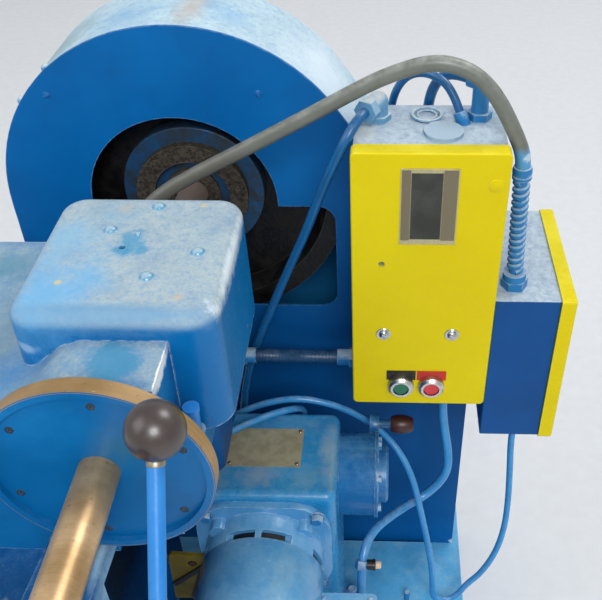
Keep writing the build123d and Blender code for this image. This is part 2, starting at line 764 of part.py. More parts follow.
def belt_loop(outward):
    """Draw the belt's loop round both wheels, moved outward by outward."""
    high = Vector(0, SHAFT_Z)
    low = Vector(UNIT_X, PULLEY_Z)
    between = low - high
    heading = math.degrees(math.atan2(between.Y, between.X))
    opening = math.degrees(math.acos((wheel_track - pulley_track) / between.length))
    big = wheel_track + outward
    small = pulley_track + outward
    right = Vector(big, 0).rotate(Axis.Z, heading + opening)
    left = Vector(big, 0).rotate(Axis.Z, heading - opening)
    Line(high + left, low + left * (small / big))
    Line(high + right, low + right * (small / big))
    CenterArc((0, SHAFT_Z), big, heading + opening, 360 - 2 * opening)
    CenterArc((UNIT_X, PULLEY_Z), small, heading - opening, 2 * opening)


with BuildPart() as belt:
    with BuildSketch(belt_plane):
        with BuildLine():
            belt_loop(BELT_THICKNESS)
        make_face()
    extrude(amount=-BELT_WIDTH)
    with BuildSketch(belt_plane):
        with BuildLine():
            belt_loop(0)
        make_face()
    extrude(amount=-BELT_WIDTH, mode=Mode.SUBTRACT)
export(belt, "belt")

with BuildPart() as drive_pulley:
    pulley_front = belt_plane.offset(PULLEY_OVERHANG)
    with BuildSketch(pulley_front):
        with Locations((UNIT_X, PULLEY_Z)):
            Circle(PULLEY_RADIUS)
    extrude(amount=-(BELT_WIDTH + 2 * PULLEY_OVERHANG))
    with BuildSketch(pulley_front):
        with Locations((UNIT_X, PULLEY_Z)):
            Circle(OUTPUT_DIAMETER / 2)
    extrude(amount=belt_y - PULLEY_OVERHANG - CASE_REAR)
export(drive_pulley, "drive_pulley")

# Clutch lever: drawn upright, then leaned back about its pin
pin_axis = Plane((CROWN_RIGHT, LEVER_PIVOT_Y, LEVER_PIVOT_Z), x_dir=(0, 1, 0), z_dir=(1, 0, 0))
hub_start = LEVER_X - LEVER_HUB_WIDTH / 2 - CROWN_RIGHT
hub_end = hub_start + LEVER_HUB_WIDTH
lean = math.radians(LEVER_LEAN)
lever_plane = Plane(
    (LEVER_X, LEVER_PIVOT_Y, LEVER_PIVOT_Z),
    x_dir=(1, 0, 0),
    z_dir=(0, math.sin(lean), math.cos(lean)),
)
with BuildPart() as lever_pin:
    with BuildSketch(pin_axis):
        Circle(LEVER_PIN / 2)
    extrude(amount=hub_end + LEVER_PLAY)
    with BuildSketch(pin_axis):
        Circle(LEVER_PIN / 2 + PIN_COLLAR)
    extrude(amount=hub_start - LEVER_PLAY)
    with BuildSketch(pin_axis.offset(hub_end + LEVER_PLAY)):
        Circle(LEVER_PIN / 2 + PIN_HEAD)
    extrude(amount=PIN_HEAD)
export(lever_pin, "lever_pin")

rod_end = LEVER_LENGTH - LEVER_BALL / 2 + LEVER_SOCKET
with BuildPart() as lever_arm:
    with BuildSketch(pin_axis.offset(hub_start)):
        Circle(LEVER_HUB_DIAMETER / 2)
    extrude(amount=LEVER_HUB_WIDTH)
    with BuildSketch(lever_plane):
        Circle(LEVER_ROD / 2)
    extrude(amount=rod_end)
    with BuildSketch(pin_axis.offset(hub_start)):
        Circle(LEVER_PIN / 2 + RUNNING)
    extrude(amount=LEVER_HUB_WIDTH, mode=Mode.SUBTRACT)
export(lever_arm, "lever_arm")

with BuildPart() as lever_knob:
    with Locations(lever_plane.offset(LEVER_LENGTH)):
        Sphere(LEVER_BALL / 2)
    with BuildSketch(lever_plane.offset(LEVER_LENGTH - LEVER_BALL)):
        Circle(LEVER_ROD / 2)
    extrude(amount=rod_end - LEVER_LENGTH + LEVER_BALL, mode=Mode.SUBTRACT)
export(lever_knob, "lever_knob")

# Drive unit
case_y = (CASE_FRONT + CASE_REAR) / 2
case_depth = CASE_REAR - CASE_FRONT
case_bottom = BASE_TOP + PAD_HEIGHT
case_right = UNIT_X + CASE_WIDTH / 2
knob_plane = Plane((case_right, KNOB_Y, KNOB_Z), x_dir=(0, 1, 0), z_dir=(1, 0, 0))
with BuildPart() as reducer_case:
    with BuildSketch(Plane.XY.offset(case_bottom)):
        with Locations((UNIT_X, case_y)):
            RectangleRounded(CASE_WIDTH, case_depth, radius=CASE_CORNER)
    extrude(amount=CASE_TOP - case_bottom)
    fillet(reducer_case.faces().sort_by(Axis.Z)[-1].edges(), radius=CASE_EDGE)
    with BuildSketch(Plane.XY.offset(case_bottom)):
        with Locations((UNIT_X, case_y)):
            RectangleRounded(
                CASE_WIDTH + 2 * FOOT_REACH, case_depth - 2 * FOOT_INSET, radius=FOOT_CORNER
            )
    extrude(amount=CASE_FOOT)
export(reducer_case, "reducer_case")

with BuildPart() as reducer_plate:
    with BuildSketch(Plane.XY.offset(CASE_TOP)):
        with Locations(PLATE_PLACE):
            Rectangle(PLATE_LENGTH, PLATE_DEPTH)
    extrude(amount=PLATE_THICKNESS)
export(reducer_plate, "reducer_plate")

bell_plane = Plane((case_right, BELL_Y, BELL_Z), x_dir=(0, 1, 0), z_dir=(1, 0, 0))
with BuildPart() as end_bell:
    with BuildSketch(bell_plane):
        Circle(BELL_RADIUS)
    extrude(amount=BELL_LENGTH)
    with BuildSketch(bell_plane.offset(BELL_LENGTH)):
        Circle(BELL_RADIUS + BELL_RING_LIP)
    extrude(amount=BELL_RING)
    with BuildSketch(knob_plane.offset(BELL_LENGTH - KNOB_LUG_DEPTH)):
        Circle(KNOB_LUG)
    extrude(amount=KNOB_LUG_DEPTH + BELL_RING)
    with BuildSketch(knob_plane.offset(BELL_LENGTH)):
        Circle(KNOB_STUB / 2)
    extrude(amount=KNOB_REACH - BELL_LENGTH)
export(end_bell, "end_bell")

with BuildPart() as end_cap:
    with BuildSketch(bell_plane.offset(BELL_LENGTH + BELL_RING)):
        Circle(CAP_RADIUS)
    extrude(amount=CAP_LENGTH)
    cap_rim = end_cap.edges().filter_by(GeomType.CIRCLE).sort_by(Axis.X)[-1]
    chamfer(cap_rim, length=CAP_CHAMFER)
export(end_cap, "end_cap")

with BuildPart() as speed_knob:
    for knob_height, knob_radius in KNOB_SECTIONS:
        with BuildSketch(knob_plane.offset(KNOB_REACH + knob_height)):
            Circle(knob_radius)
    loft()
export(speed_knob, "speed_knob")

motor_plane = Plane((UNIT_X, CASE_FRONT, MOTOR_Z), x_dir=(1, 0, 0), z_dir=(0, -1, 0))
bell_start = MOTOR_FLANGE_THICKNESS
drum_start = bell_start + MOTOR_BELL_LENGTH
with BuildPart() as motor_flange:
    with BuildSketch(motor_plane):
        RectangleRounded(MOTOR_FLANGE, MOTOR_FLANGE, radius=MOTOR_FLANGE_CORNER)
    extrude(amount=MOTOR_FLANGE_THICKNESS)
    with BuildSketch(motor_plane.offset(bell_start)):
        Circle(MOTOR_DIAMETER / 2 - MOTOR_BELL_STEP)
    extrude(amount=MOTOR_BELL_LENGTH)
    with BuildSketch(motor_plane.offset(bell_start)):
        with PolarLocations(MOTOR_DIAMETER / 2 - MOTOR_LUG_INSET, 4, start_angle=45):
            Circle(MOTOR_LUG_RADIUS)
    extrude(amount=MOTOR_LUG_LENGTH)
    vent_start = drum_start - MOTOR_VENT_LENGTH - MOTOR_VENT_LAND
    vent_offset = (MOTOR_VENT_WIDTH + MOTOR_VENT_BRIDGE) / 2
    with BuildSketch(motor_plane.offset(vent_start)):
        with PolarLocations(MOTOR_DIAMETER / 2, 4, start_angle=90):
            with Locations((0, -vent_offset), (0, vent_offset)):
                Rectangle(2 * MOTOR_VENT_DEPTH, MOTOR_VENT_WIDTH)
    extrude(amount=MOTOR_VENT_LENGTH, mode=Mode.SUBTRACT)
export(motor_flange, "motor_flange")

with BuildPart() as yellow_bracket:
    strap_plane = Plane(
        (0, CASE_FRONT - MOTOR_FLANGE_THICKNESS, 0), x_dir=(1, 0, 0), z_dir=(0, -1, 0)
    )
    with BuildSketch(strap_plane) as strap:
        with BuildLine():
            Polyline(*YELLOW_OUTLINE, close=True)
        make_face()
        fillet(strap.vertices(), radius=YELLOW_CORNER)
        with Locations(YELLOW_HOLE):
            Circle(YELLOW_HOLE_RADIUS, mode=Mode.SUBTRACT)
    extrude(amount=YELLOW_THICKNESS)
export(yellow_bracket, "yellow_bracket")

with BuildPart() as motor_drum:
    with BuildSketch(motor_plane.offset(drum_start)):
        Circle(MOTOR_DIAMETER / 2)
    extrude(amount=MOTOR_DRUM_LENGTH)
export(motor_drum, "motor_drum")

with BuildPart() as motor_cowl:
    with BuildSketch(motor_plane.offset(drum_start + MOTOR_DRUM_LENGTH)):
        Circle(MOTOR_DIAMETER / 2 - MOTOR_COWL_STEP)
    extrude(amount=MOTOR_COWL_LENGTH)
    cowl_rim = motor_cowl.faces().sort_by(Axis.Y)[0].edges()
    fillet(cowl_rim, radius=MOTOR_COWL_EDGE)
export(motor_cowl, "motor_cowl")

with BuildPart() as terminal_box:
    with BuildSketch(Plane.XY.offset(TERMINAL_Z)):
        with Locations((TERMINAL_X, TERMINAL_Y)):
            RectangleRounded(TERMINAL_WIDTH, TERMINAL_DEPTH, radius=TERMINAL_CORNER)
    extrude(amount=TERMINAL_HEIGHT)
    with BuildSketch(motor_plane):
        Circle(MOTOR_DIAMETER / 2)
    extrude(amount=drum_start + MOTOR_DRUM_LENGTH, mode=Mode.SUBTRACT)
export(terminal_box, "terminal_box")

# Starter box
starter_middle = STARTER_LEFT + STARTER_WIDTH / 2
starter_bottom = STARTER_TOP - STARTER_HEIGHT
starter_centre_z = (STARTER_TOP + starter_bottom) / 2
body_front = STARTER_FRONT + STARTER_SKIN
button_z = starter_bottom + BUTTON_RISE
spare_hole_z = STARTER_TOP - SPARE_HOLE_DROP
with BuildPart() as starter_box:
    with BuildSketch(Plane.XY.offset(starter_bottom + STARTER_LIP)):
        with Locations((starter_middle, (body_front + STARTER_REAR) / 2)):
            Rectangle(STARTER_WIDTH - 2 * STARTER_LIP, STARTER_REAR - body_front)
    extrude(amount=STARTER_HEIGHT - 2 * STARTER_LIP)
    with BuildSketch(Plane.XY.offset(STARTER_TOP - STARTER_LIP)):
        with Locations(TOP_KNOCKOUT):
            Circle(KNOCKOUT_RADIUS)
            Circle(KNOCKOUT_RADIUS - KNOCKOUT_GROOVE, mode=Mode.SUBTRACT)
    extrude(amount=-KNOCKOUT_DEPTH, mode=Mode.SUBTRACT)
    with BuildSketch(Plane.XY.offset(STARTER_TOP - STARTER_LIP)):
        with Locations(TOP_CAP):
            Circle(TOP_CAP_RADIUS)
    extrude(amount=TOP_CAP_HEIGHT)
    for button_x in BUTTON_X:
        with Locations(Plane((button_x, body_front, button_z), z_dir=(0, -1, 0))):
            Hole(radius=BUTTON_RADIUS + FREE, depth=BUTTON_WELL)
    with Locations(Plane((SPARE_HOLE_X, body_front, spare_hole_z), z_dir=(0, -1, 0))):
        Hole(radius=SPARE_HOLE_RADIUS, depth=SPARE_HOLE_DEPTH)
export(starter_box, "starter_box")

cover_plane = Plane(
    (starter_middle, STARTER_FRONT, starter_centre_z), x_dir=(1, 0, 0), z_dir=(0, -1, 0)
)
with BuildPart() as starter_cover:
    with BuildSketch(cover_plane):
        RectangleRounded(STARTER_WIDTH, STARTER_HEIGHT, radius=STARTER_CORNER)
    extrude(amount=-STARTER_COVER_DEPTH)
    fillet(starter_cover.faces().sort_by(Axis.Y)[0].edges(), radius=STARTER_EDGE)
    with BuildSketch(cover_plane.offset(-STARTER_SKIN)):
        Rectangle(STARTER_WIDTH - 2 * STARTER_LIP, STARTER_HEIGHT - 2 * STARTER_LIP)
    extrude(amount=STARTER_SKIN - STARTER_COVER_DEPTH, mode=Mode.SUBTRACT)
    for button_x in BUTTON_X:
        with Locations(Plane((button_x, STARTER_FRONT, button_z), z_dir=(0, -1, 0))):
            Hole(radius=BUTTON_RADIUS + BUTTON_GAP, depth=2 * STARTER_SKIN)
    with Locations(Plane((SPARE_HOLE_X, STARTER_FRONT, spare_hole_z), z_dir=(0, -1, 0))):
        Hole(radius=SPARE_HOLE_RADIUS, depth=2 * STARTER_SKIN)
export(starter_cover, "starter_cover")

with BuildPart() as window_plate:
    window_x = WINDOW_LEFT + WINDOW_WIDTH / 2
    window_z = STARTER_TOP - WINDOW_DROP - WINDOW_HEIGHT / 2
    plate_plane = Plane((window_x, STARTER_FRONT, window_z), x_dir=(1, 0, 0), z_dir=(0, -1, 0))
    with BuildSketch(plate_plane):
        Rectangle(WINDOW_WIDTH, WINDOW_HEIGHT)
    extrude(amount=WINDOW_THICKNESS)
    with BuildSketch(plate_plane.offset(WINDOW_THICKNESS)):
        with Locations(PANE_PLACE):
            Rectangle(PANE_WIDTH, PANE_HEIGHT)
    extrude(amount=-PANE_DEPTH, mode=Mode.SUBTRACT)
export(window_plate, "window_plate")

cover_front = Plane((0, STARTER_FRONT, button_z), x_dir=(1, 0, 0), z_dir=(0, -1, 0))
button_places = [(x, 0) for x in BUTTON_X]
with BuildPart() as button_rings:
    with BuildSketch(cover_front):
        with Locations(*button_places):
            Circle(BUTTON_RING)
            Circle(BUTTON_RADIUS + BUTTON_GAP, mode=Mode.SUBTRACT)
    extrude(amount=BUTTON_RING_HEIGHT)
    outer_rims = button_rings.faces().sort_by(Axis.Y)[:2].edges().group_by(SortBy.LENGTH)[-1]
    chamfer(outer_rims, length=BUTTON_RING_CHAMFER)
export(button_rings, "button_rings")

with BuildPart() as legend_plates:
    with BuildSketch(cover_front):
        with Locations(*[(x, LEGEND_RISE) for x in BUTTON_X]):
            Rectangle(LEGEND_WIDTH, LEGEND_HEIGHT)
        with Locations(*button_places):
            Circle(BUTTON_RING + SEAT, mode=Mode.SUBTRACT)
    extrude(amount=LEGEND_THICKNESS)
export(legend_plates, "legend_plates")

for side, button_x in zip(("start", "stop"), BUTTON_X):
    with BuildPart() as button:
        with BuildSketch(cover_front.offset(-STARTER_SKIN - BUTTON_TRAVEL)):
            with Locations((button_x, 0)):
                Circle(BUTTON_RADIUS)
        extrude(amount=STARTER_SKIN + BUTTON_TRAVEL + BUTTON_RING_HEIGHT - BUTTON_SINK)
        fillet(button.edges().sort_by(Axis.Y)[0], radius=BUTTON_EDGE)
    export(button, f"{side}_button")

# Side box
side_left = STARTER_LEFT + STARTER_WIDTH
side_right = side_left + SIDE_WIDTH
with BuildPart() as side_box:
    with BuildSketch(Plane.XY.offset(SIDE_BOTTOM)):
        with Locations(((side_left + side_right) / 2, (SIDE_FRONT + SIDE_REAR) / 2)):
            Rectangle(SIDE_WIDTH, SIDE_REAR - SIDE_FRONT)
    extrude(amount=SIDE_TOP - SIDE_BOTTOM)
    fillet(side_box.edges().filter_by(Axis.Z), radius=SIDE_CORNER)
    seat_plane = Plane((side_left, 0, 0), x_dir=(0, 1, 0), z_dir=(1, 0, 0))
    with BuildSketch(seat_plane):
        with Locations((SIDE_REAR / 2, SIDE_BOTTOM + SEAT_PAD_RISE)):
            Rectangle(SIDE_REAR - SEAT_PAD_MARGIN, SEAT_PAD_HEIGHT)
    extrude(amount=GUARD_RIGHT - side_left)
export(side_box, "side_box")

with BuildPart() as side_lid:
    lid_plane = Plane(
        (side_right, (SIDE_FRONT + SIDE_REAR) / 2, (SIDE_TOP + SIDE_BOTTOM) / 2),
        x_dir=(0, 1, 0),
        z_dir=(1, 0, 0),
    )
    with BuildSketch(lid_plane):
        RectangleRounded(
            SIDE_REAR - SIDE_FRONT + 2 * LID_LAP,
            SIDE_TOP - SIDE_BOTTOM + 2 * LID_LAP,
            radius=LID_CORNER,
        )
    extrude(amount=LID_THICKNESS)
    fillet(side_lid.faces().sort_by(Axis.X)[-1].edges(), radius=LID_EDGE)
export(side_lid, "side_lid")

# Strain relief of the grey cable, on the side box
relief_plane = Plane((RELIEF_X, RELIEF_Y, SIDE_TOP), x_dir=(1, 0, 0), z_dir=(RELIEF_LEAN, 0, 1))
ferrule_start = RELIEF_NUT_HEIGHT + RELIEF_SPRING_LENGTH
hex_height = RELIEF_NUT_HEIGHT * RELIEF_HEX_SHARE
with BuildPart() as relief_nut:
    with BuildSketch(relief_plane.offset(-SEAT_LAP)):
        RegularPolygon(radius=RELIEF_NUT, side_count=6)
    extrude(amount=SEAT_LAP + hex_height)
    with BuildSketch(relief_plane.offset(hex_height)):
        Circle(RELIEF_COLLAR)
    extrude(amount=RELIEF_NUT_HEIGHT - hex_height)
    split(bisect_by=Plane.XY.offset(SIDE_TOP))
export(relief_nut, "relief_nut")

with BuildPart() as relief_spring:
    with BuildSketch(relief_plane.offset(RELIEF_NUT_HEIGHT)):
        Circle(RELIEF_SPRING)
    extrude(amount=RELIEF_SPRING_LENGTH)
    with BuildSketch(relief_plane.offset(ferrule_start)):
        Circle(RELIEF_FERRULE_RADIUS)
    extrude(amount=RELIEF_FERRULE)
export(relief_spring, "relief_spring")


# Connectors and glands that the cables leave from
pad_top = BASE_TOP + PAD_HEIGHT
leg_face = LEG_RIGHT - LEG_STEP
conduit_z = starter_bottom + CONDUIT_GLAND_RISE
conduit_foot = Plane((STARTER_LEFT + STARTER_LIP, CONDUIT_Y, conduit_z), z_dir=(-1, 0, 0))
bed_foot = Plane((BED_RIGHT_REAR, *BED_GLAND_PLACE), z_dir=(1, 0, 0))
side_foot = Plane((*SIDE_GLAND_PLACE, SIDE_BOTTOM), z_dir=(0, 0, -1))
box_foot = Plane((*BOX_GLAND_PLACE, starter_bottom + STARTER_LIP), z_dir=(0, 0, -1))
deck_foot = Plane((*DECK_GLAND_PLACE, BED_TOP), z_dir=(0, 0, 1))
leg_high_foot = Plane((leg_face, *LEG_GLAND_HIGH), z_dir=(1, 0, 0))
leg_low_foot = Plane((leg_face, *LEG_GLAND_LOW), z_dir=(1, 0, 0))
left_pad_foot = Plane((*LEFT_PAD_GLAND_PLACE, pad_top), z_dir=(0, 0, 1))
right_pad_foot = Plane((*RIGHT_PAD_GLAND_PLACE, pad_top), z_dir=(0, 0, 1))
motor_foot = Plane((TERMINAL_X, TERMINAL_Y, TERMINAL_Z), z_dir=(0, 0, -1))
glands = (
    (conduit_foot, CONDUIT_GLAND_RADIUS, CONDUIT_GLAND),
    (bed_foot, BED_GLAND_RADIUS, BED_GLAND),
    (side_foot, SIDE_GLAND_RADIUS, SIDE_GLAND),
    (box_foot, BOX_GLAND_RADIUS, BOX_GLAND),
    (deck_foot, DECK_GLAND_RADIUS, DECK_GLAND),
    (leg_high_foot, LEG_GLAND_RADIUS, LEG_GLAND),
    (leg_low_foot, LEG_GLAND_RADIUS, LEG_GLAND),
    (left_pad_foot, LEFT_PAD_GLAND_RADIUS, LEFT_PAD_GLAND),
    (right_pad_foot, RIGHT_PAD_GLAND_RADIUS, RIGHT_PAD_GLAND),
    (motor_foot, MOTOR_GLAND_RADIUS, MOTOR_GLAND),
)
with BuildPart() as cable_glands:
    for foot, radius, length in glands:
        hexagon = length * GLAND_HEX_SHARE
        with BuildSketch(foot):
            RegularPolygon(radius=radius, side_count=6)
        extrude(amount=hexagon)
        with BuildSketch(foot.offset(hexagon)):
            Circle(radius * GLAND_NECK_SHARE)
        extrude(amount=length - hexagon)
    with BuildSketch(Plane.XY.offset(STUB_BOTTOM)):
        with Locations(FAT_STUB):
            Circle(FAT_STUB_RADIUS)
    extrude(amount=FAT_STUB_TOP - STUB_BOTTOM)
    with BuildSketch(Plane.XY.offset(STUB_BOTTOM)):
        with Locations(THIN_STUB):
            Circle(THIN_STUB_RADIUS)
    extrude(amount=THIN_STUB_TOP - STUB_BOTTOM)
    with BuildSketch(guard_plane.offset(-SHEET - RAIL_PLAY)):
        with BuildLine():
            guard_outline(0)
        make_face()
    extrude(amount=SHEET - GUARD_DEPTH, mode=Mode.SUBTRACT)
export(cable_glands, "cable_glands")

box_top = STARTER_TOP - STARTER_LIP
left_mouth = Plane((*LEFT_CONNECTOR, box_top + LEFT_MOUTH_RISE), z_dir=LEFT_HEADING)
with BuildPart() as left_connector:
    with BuildSketch(Plane.XY.offset(box_top)):
        with Locations(LEFT_CONNECTOR):
            RegularPolygon(radius=LEFT_HEX, side_count=6)
    extrude(amount=LEFT_HEX_HEIGHT)
    with BuildSketch(Plane.XY.offset(box_top + LEFT_HEX_HEIGHT)):
        with Locations(LEFT_CONNECTOR):
            Circle(LEFT_BODY)
    extrude(amount=LEFT_MOUTH_RISE - LEFT_HEX_HEIGHT)
    with Locations(left_mouth):
        Sphere(LEFT_BODY)
    with BuildSketch(left_mouth):
        Circle(LEFT_BODY)
    extrude(amount=LEFT_REACH - LEFT_NUT_LENGTH)
    with BuildSketch(left_mouth.offset(LEFT_REACH - LEFT_NUT_LENGTH)):
        RegularPolygon(radius=LEFT_NUT, side_count=6)
    extrude(amount=LEFT_NUT_LENGTH)
export(left_connector, "left_connector")

right_mouth = Plane((*RIGHT_CONNECTOR, box_top + RIGHT_MOUTH_RISE), z_dir=RIGHT_HEADING)
bush_plane = Plane((*BUSH_PLACE, box_top), z_dir=BUSH_HEADING)
with BuildPart() as right_elbow:
    with BuildSketch(Plane.XY.offset(box_top)):
        with Locations(RIGHT_CONNECTOR):
            RegularPolygon(radius=RIGHT_HEX, side_count=6)
    extrude(amount=RIGHT_HEX_HEIGHT)
    with BuildSketch(Plane.XY.offset(box_top + RIGHT_HEX_HEIGHT)):
        with Locations(RIGHT_CONNECTOR):
            Circle(RIGHT_BODY)
    extrude(amount=RIGHT_MOUTH_RISE - RIGHT_HEX_HEIGHT)
    with Locations(right_mouth):
        Sphere(RIGHT_BODY)
    with BuildSketch(right_mouth):
        Circle(RIGHT_BODY)
    extrude(amount=RIGHT_REACH)
    with BuildSketch(bush_plane.offset(-BUSH_ROOT)):
        Circle(BUSH_RADIUS)
    extrude(amount=BUSH_REACH + BUSH_ROOT)
    split(bisect_by=Plane.XY.offset(box_top))
export(right_elbow, "right_elbow")


def cord(name, points, diameter):
    """Sweep a round cord along straight runs joined by tangent arcs, and write it."""
    stations = [Vector(*point) for point in points]
    radii = []
    for before, here, after in zip(stations, stations[1:], stations[2:]):
        turn = math.radians((here - before).get_angle(after - here))
        shorter = min((here - before).length, (after - here).length)
        radii.append(0.45 * shorter / math.tan(turn / 2))
    with BuildPart() as tube:
        with BuildLine() as route:
            FilletPolyline(*stations, radius=radii)
        start = Plane(stations[0], z_dir=stations[1] - stations[0])
        with BuildSketch(start):
            Circle(diameter / 2)
        path = route.wire()
        sweep(path=path)
    length = path.length
    expected = math.pi * diameter**2 / 4 * length
    print(name, "length", round(length), "volume share", round(tube.part.volume / expected, 4))
    print(name, "radii", [round(radius) for radius in radii])
    export(tube, name)


relief_end = relief_plane.offset(ferrule_start + RELIEF_FERRULE).origin
cord(
    "grey_cable",
    [
        tuple(relief_end),
        tuple(relief_plane.offset(ferrule_start + RELIEF_FERRULE + RELIEF_LEAD).origin),
        (399, -86, 1043),
        (375, -82, 1086),
        (347, -77, 1112),
        (306, -75, 1122),
        (257, -73, 1105),
        (219, -73, 1085),
        (183, -73, 1064),
        (132, -74, 1036),
        (82, -76, 1009),
        (30, -78, 982),
        (-16, -82, 955),
        (-46, -86, 921),
        (-63, -90, 876),
        (*DECK_GLAND_PLACE, 828),
        tuple(deck_foot.offset(DECK_GLAND).origin),
    ],
    GREY_CABLE,
)

cord(
    "blue_cable",
    [
        tuple(left_mouth.offset(LEFT_REACH).origin),
        tuple(left_mouth.offset(LEFT_REACH + 16).origin),
        (211, -98, 1040),
        (199, -94, 1012),
        (181, -84, 966),
        (160, -73, 902),
        (128, -57, 821),
        (101, -46, 749),
        (75, -40, 682),
        (56, -40, 622),
        (43, -46, 540),
        (37, -53, 420),
        (*LEFT_PAD_GLAND_PLACE, 300),
        tuple(left_pad_foot.offset(LEFT_PAD_GLAND).origin),
    ],
    BLUE_CABLE,
)
cord(
    "corrugated_conduit",
    [
        tuple(conduit_foot.offset(CONDUIT_GLAND).origin),
        (162, CONDUIT_Y, conduit_z),
        (127, -46, 664),
        (104, *BED_GLAND_PLACE),
        tuple(bed_foot.offset(BED_GLAND).origin),
    ],
    CONDUIT,
)
cord(
    "long_cable",
    [
        tuple(side_foot.offset(SIDE_GLAND).origin),
        (*SIDE_GLAND_PLACE, 530),
        (454, -81, 470),
        (459, -84, 395),
        (459, -90, 330),
        (449, -99, 274),
        (427, -111, 232),
        (403, -119, 210),
        (391, -125, 190),
        (373, -130, 179),
        (352, -134, 187),
        (345, -136, 209),
        (344, -136, 246),
        (340, -136, 290),
        (330, -136, 357),
        (317, -136, 430),
        (304, -122, 488),
        (287, -104, 520),
        (264, -87, 543),
        (238, -82, 567),
        (206, -86, 597),
        (172, -86, 612),
        (138, -86, 619),
        (106, -86, 614),
        (71, -86, 601),
        (33, -87, 578),
        (-2, -92, 556),
        (-27, *LEG_GLAND_HIGH),
        tuple(leg_high_foot.offset(LEG_GLAND).origin),
    ],
    LONG_CABLE,
)
cord(
    "second_cable",
    [
        tuple(right_pad_foot.offset(RIGHT_PAD_GLAND).origin),
        (*RIGHT_PAD_GLAND_PLACE, 290),
        (130, -54, 400),
        (135, -57, 500),
        (140, -62, 552),
        (141, -74, 586),
        (124, -105, 616),
        (94, -119, 617),
        (67, -135, 616),
        (41, -153, 616),
        (8, -170, 618),
        (-13, -172, 594),
        (-28, *LEG_GLAND_LOW),
        tuple(leg_low_foot.offset(LEG_GLAND).origin),
    ],
    LONG_CABLE,
)
cord(
    "motor_conduit",
    [
        tuple(box_foot.offset(BOX_GLAND).origin),
        (*BOX_GLAND_PLACE, 582),
        (350, -66, 540),
        (357, -78, 506),
        (358, -93, 478),
        (347, -96, 450),
        (324, -102, 424),
        (295, -122, 424),
        (268, -158, 442),
        (246, -192, 458),
        (233, -219, 452),
        (230, -243, 424),
        (229, -264, 388),
        (226, -292, 352),
        (220, -325, 336),
        (215, -355, 346),
        (TERMINAL_X, TERMINAL_Y, 378),
        tuple(motor_foot.offset(MOTOR_GLAND).origin),
    ],
    MOTOR_CONDUIT,
)
cord(
    "fat_jumper",
    [
        tuple(right_mouth.offset(RIGHT_REACH).origin),
        tuple(right_mouth.offset(RIGHT_REACH + 22).origin),
        (317, 3, 1067),
        (308, 11, 1042),
        (306, 15, 1008),
        (307, 20, 968),
        (*FAT_STUB, 936),
        (*FAT_STUB, FAT_STUB_TOP),
    ],
    JUMPER,
)
cord(
    "thin_jumper",
    [
        tuple(bush_plane.offset(BUSH_REACH).origin),
        tuple(bush_plane.offset(BUSH_REACH + 16).origin),
        (322, -26, 1077),
        (300, -10, 1081),
        (280, 5, 1070),
        (267, 15, 1047),
        (261, 22, 1016),
        (*THIN_STUB, 990),
        (*THIN_STUB, THIN_STUB_TOP),
    ],
    LONG_CABLE,
)
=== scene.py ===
"""Dresses the drive end of a four-slide wire forming machine.

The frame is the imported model's: +Z up, the operator on the -Y side, and the origin on the floor
below the main shaft, in the plane of the wheel guard's front face. Sizes and places are written in
millimetres unless a name says otherwise, and become metres with MM.
"""

import logging
import math
from dataclasses import dataclass
from enum import Enum
from functools import cache, reduce
from itertools import product
from typing import Sequence

import bmesh
import bpy
from mathutils import Matrix, Vector


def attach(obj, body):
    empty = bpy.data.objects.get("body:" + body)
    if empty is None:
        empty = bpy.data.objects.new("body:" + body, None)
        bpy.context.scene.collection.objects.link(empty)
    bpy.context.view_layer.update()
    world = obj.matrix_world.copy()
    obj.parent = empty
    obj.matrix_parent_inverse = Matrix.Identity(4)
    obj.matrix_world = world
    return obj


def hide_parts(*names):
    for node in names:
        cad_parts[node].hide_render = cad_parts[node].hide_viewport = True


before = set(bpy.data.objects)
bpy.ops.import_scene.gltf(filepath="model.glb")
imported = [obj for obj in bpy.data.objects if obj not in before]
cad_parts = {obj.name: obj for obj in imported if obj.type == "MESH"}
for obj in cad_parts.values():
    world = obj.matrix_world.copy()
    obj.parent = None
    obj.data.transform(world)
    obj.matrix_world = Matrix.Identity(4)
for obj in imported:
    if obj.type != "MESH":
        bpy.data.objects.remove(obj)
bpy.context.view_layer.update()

log = logging.getLogger("wire_former")
Point = tuple[float, float, float]
Pair = tuple[float, float]
Material = bpy.types.Material
Object = bpy.types.Object
Socket = bpy.types.NodeSocket
MM = 0.001
UP = (0, 0, 1)
FRONT = (0, -1, 0)
SHARP_DEGREES = 50  # A packed edge that bends by more than this is softened
WELD = 0.01


class Body(Enum):
    """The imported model's bodies that carry added pieces."""

    MACHINE = "machine"
    SHAFT = "shaft"
    LEVER = "lever"


def linear(code: str) -> tuple[float, ...]:
    """Turn an sRGB colour, written as "#RRGGBB", into linear red, green, blue and alpha 1."""
    channels = [int(code[i : i + 2], 16) / 255 for i in (1, 3, 5)]
    return (*[c / 12.92 if c <= 0.04045 else ((c + 0.055) / 1.055) ** 2.4 for c in channels], 1)


@dataclass(frozen=True)
class Mark:
    """One place where a finish is rubbed, chipped or dusty.

    A squash above 1 makes it narrower along that axis, and one below 1 makes it longer.
    """

    place: Point
    radius: float
    colour: str
    strength: float = 0.8
    ragged: float = 0.6
    squash: Point = (1, 1, 1)
    soft: float = 0.15


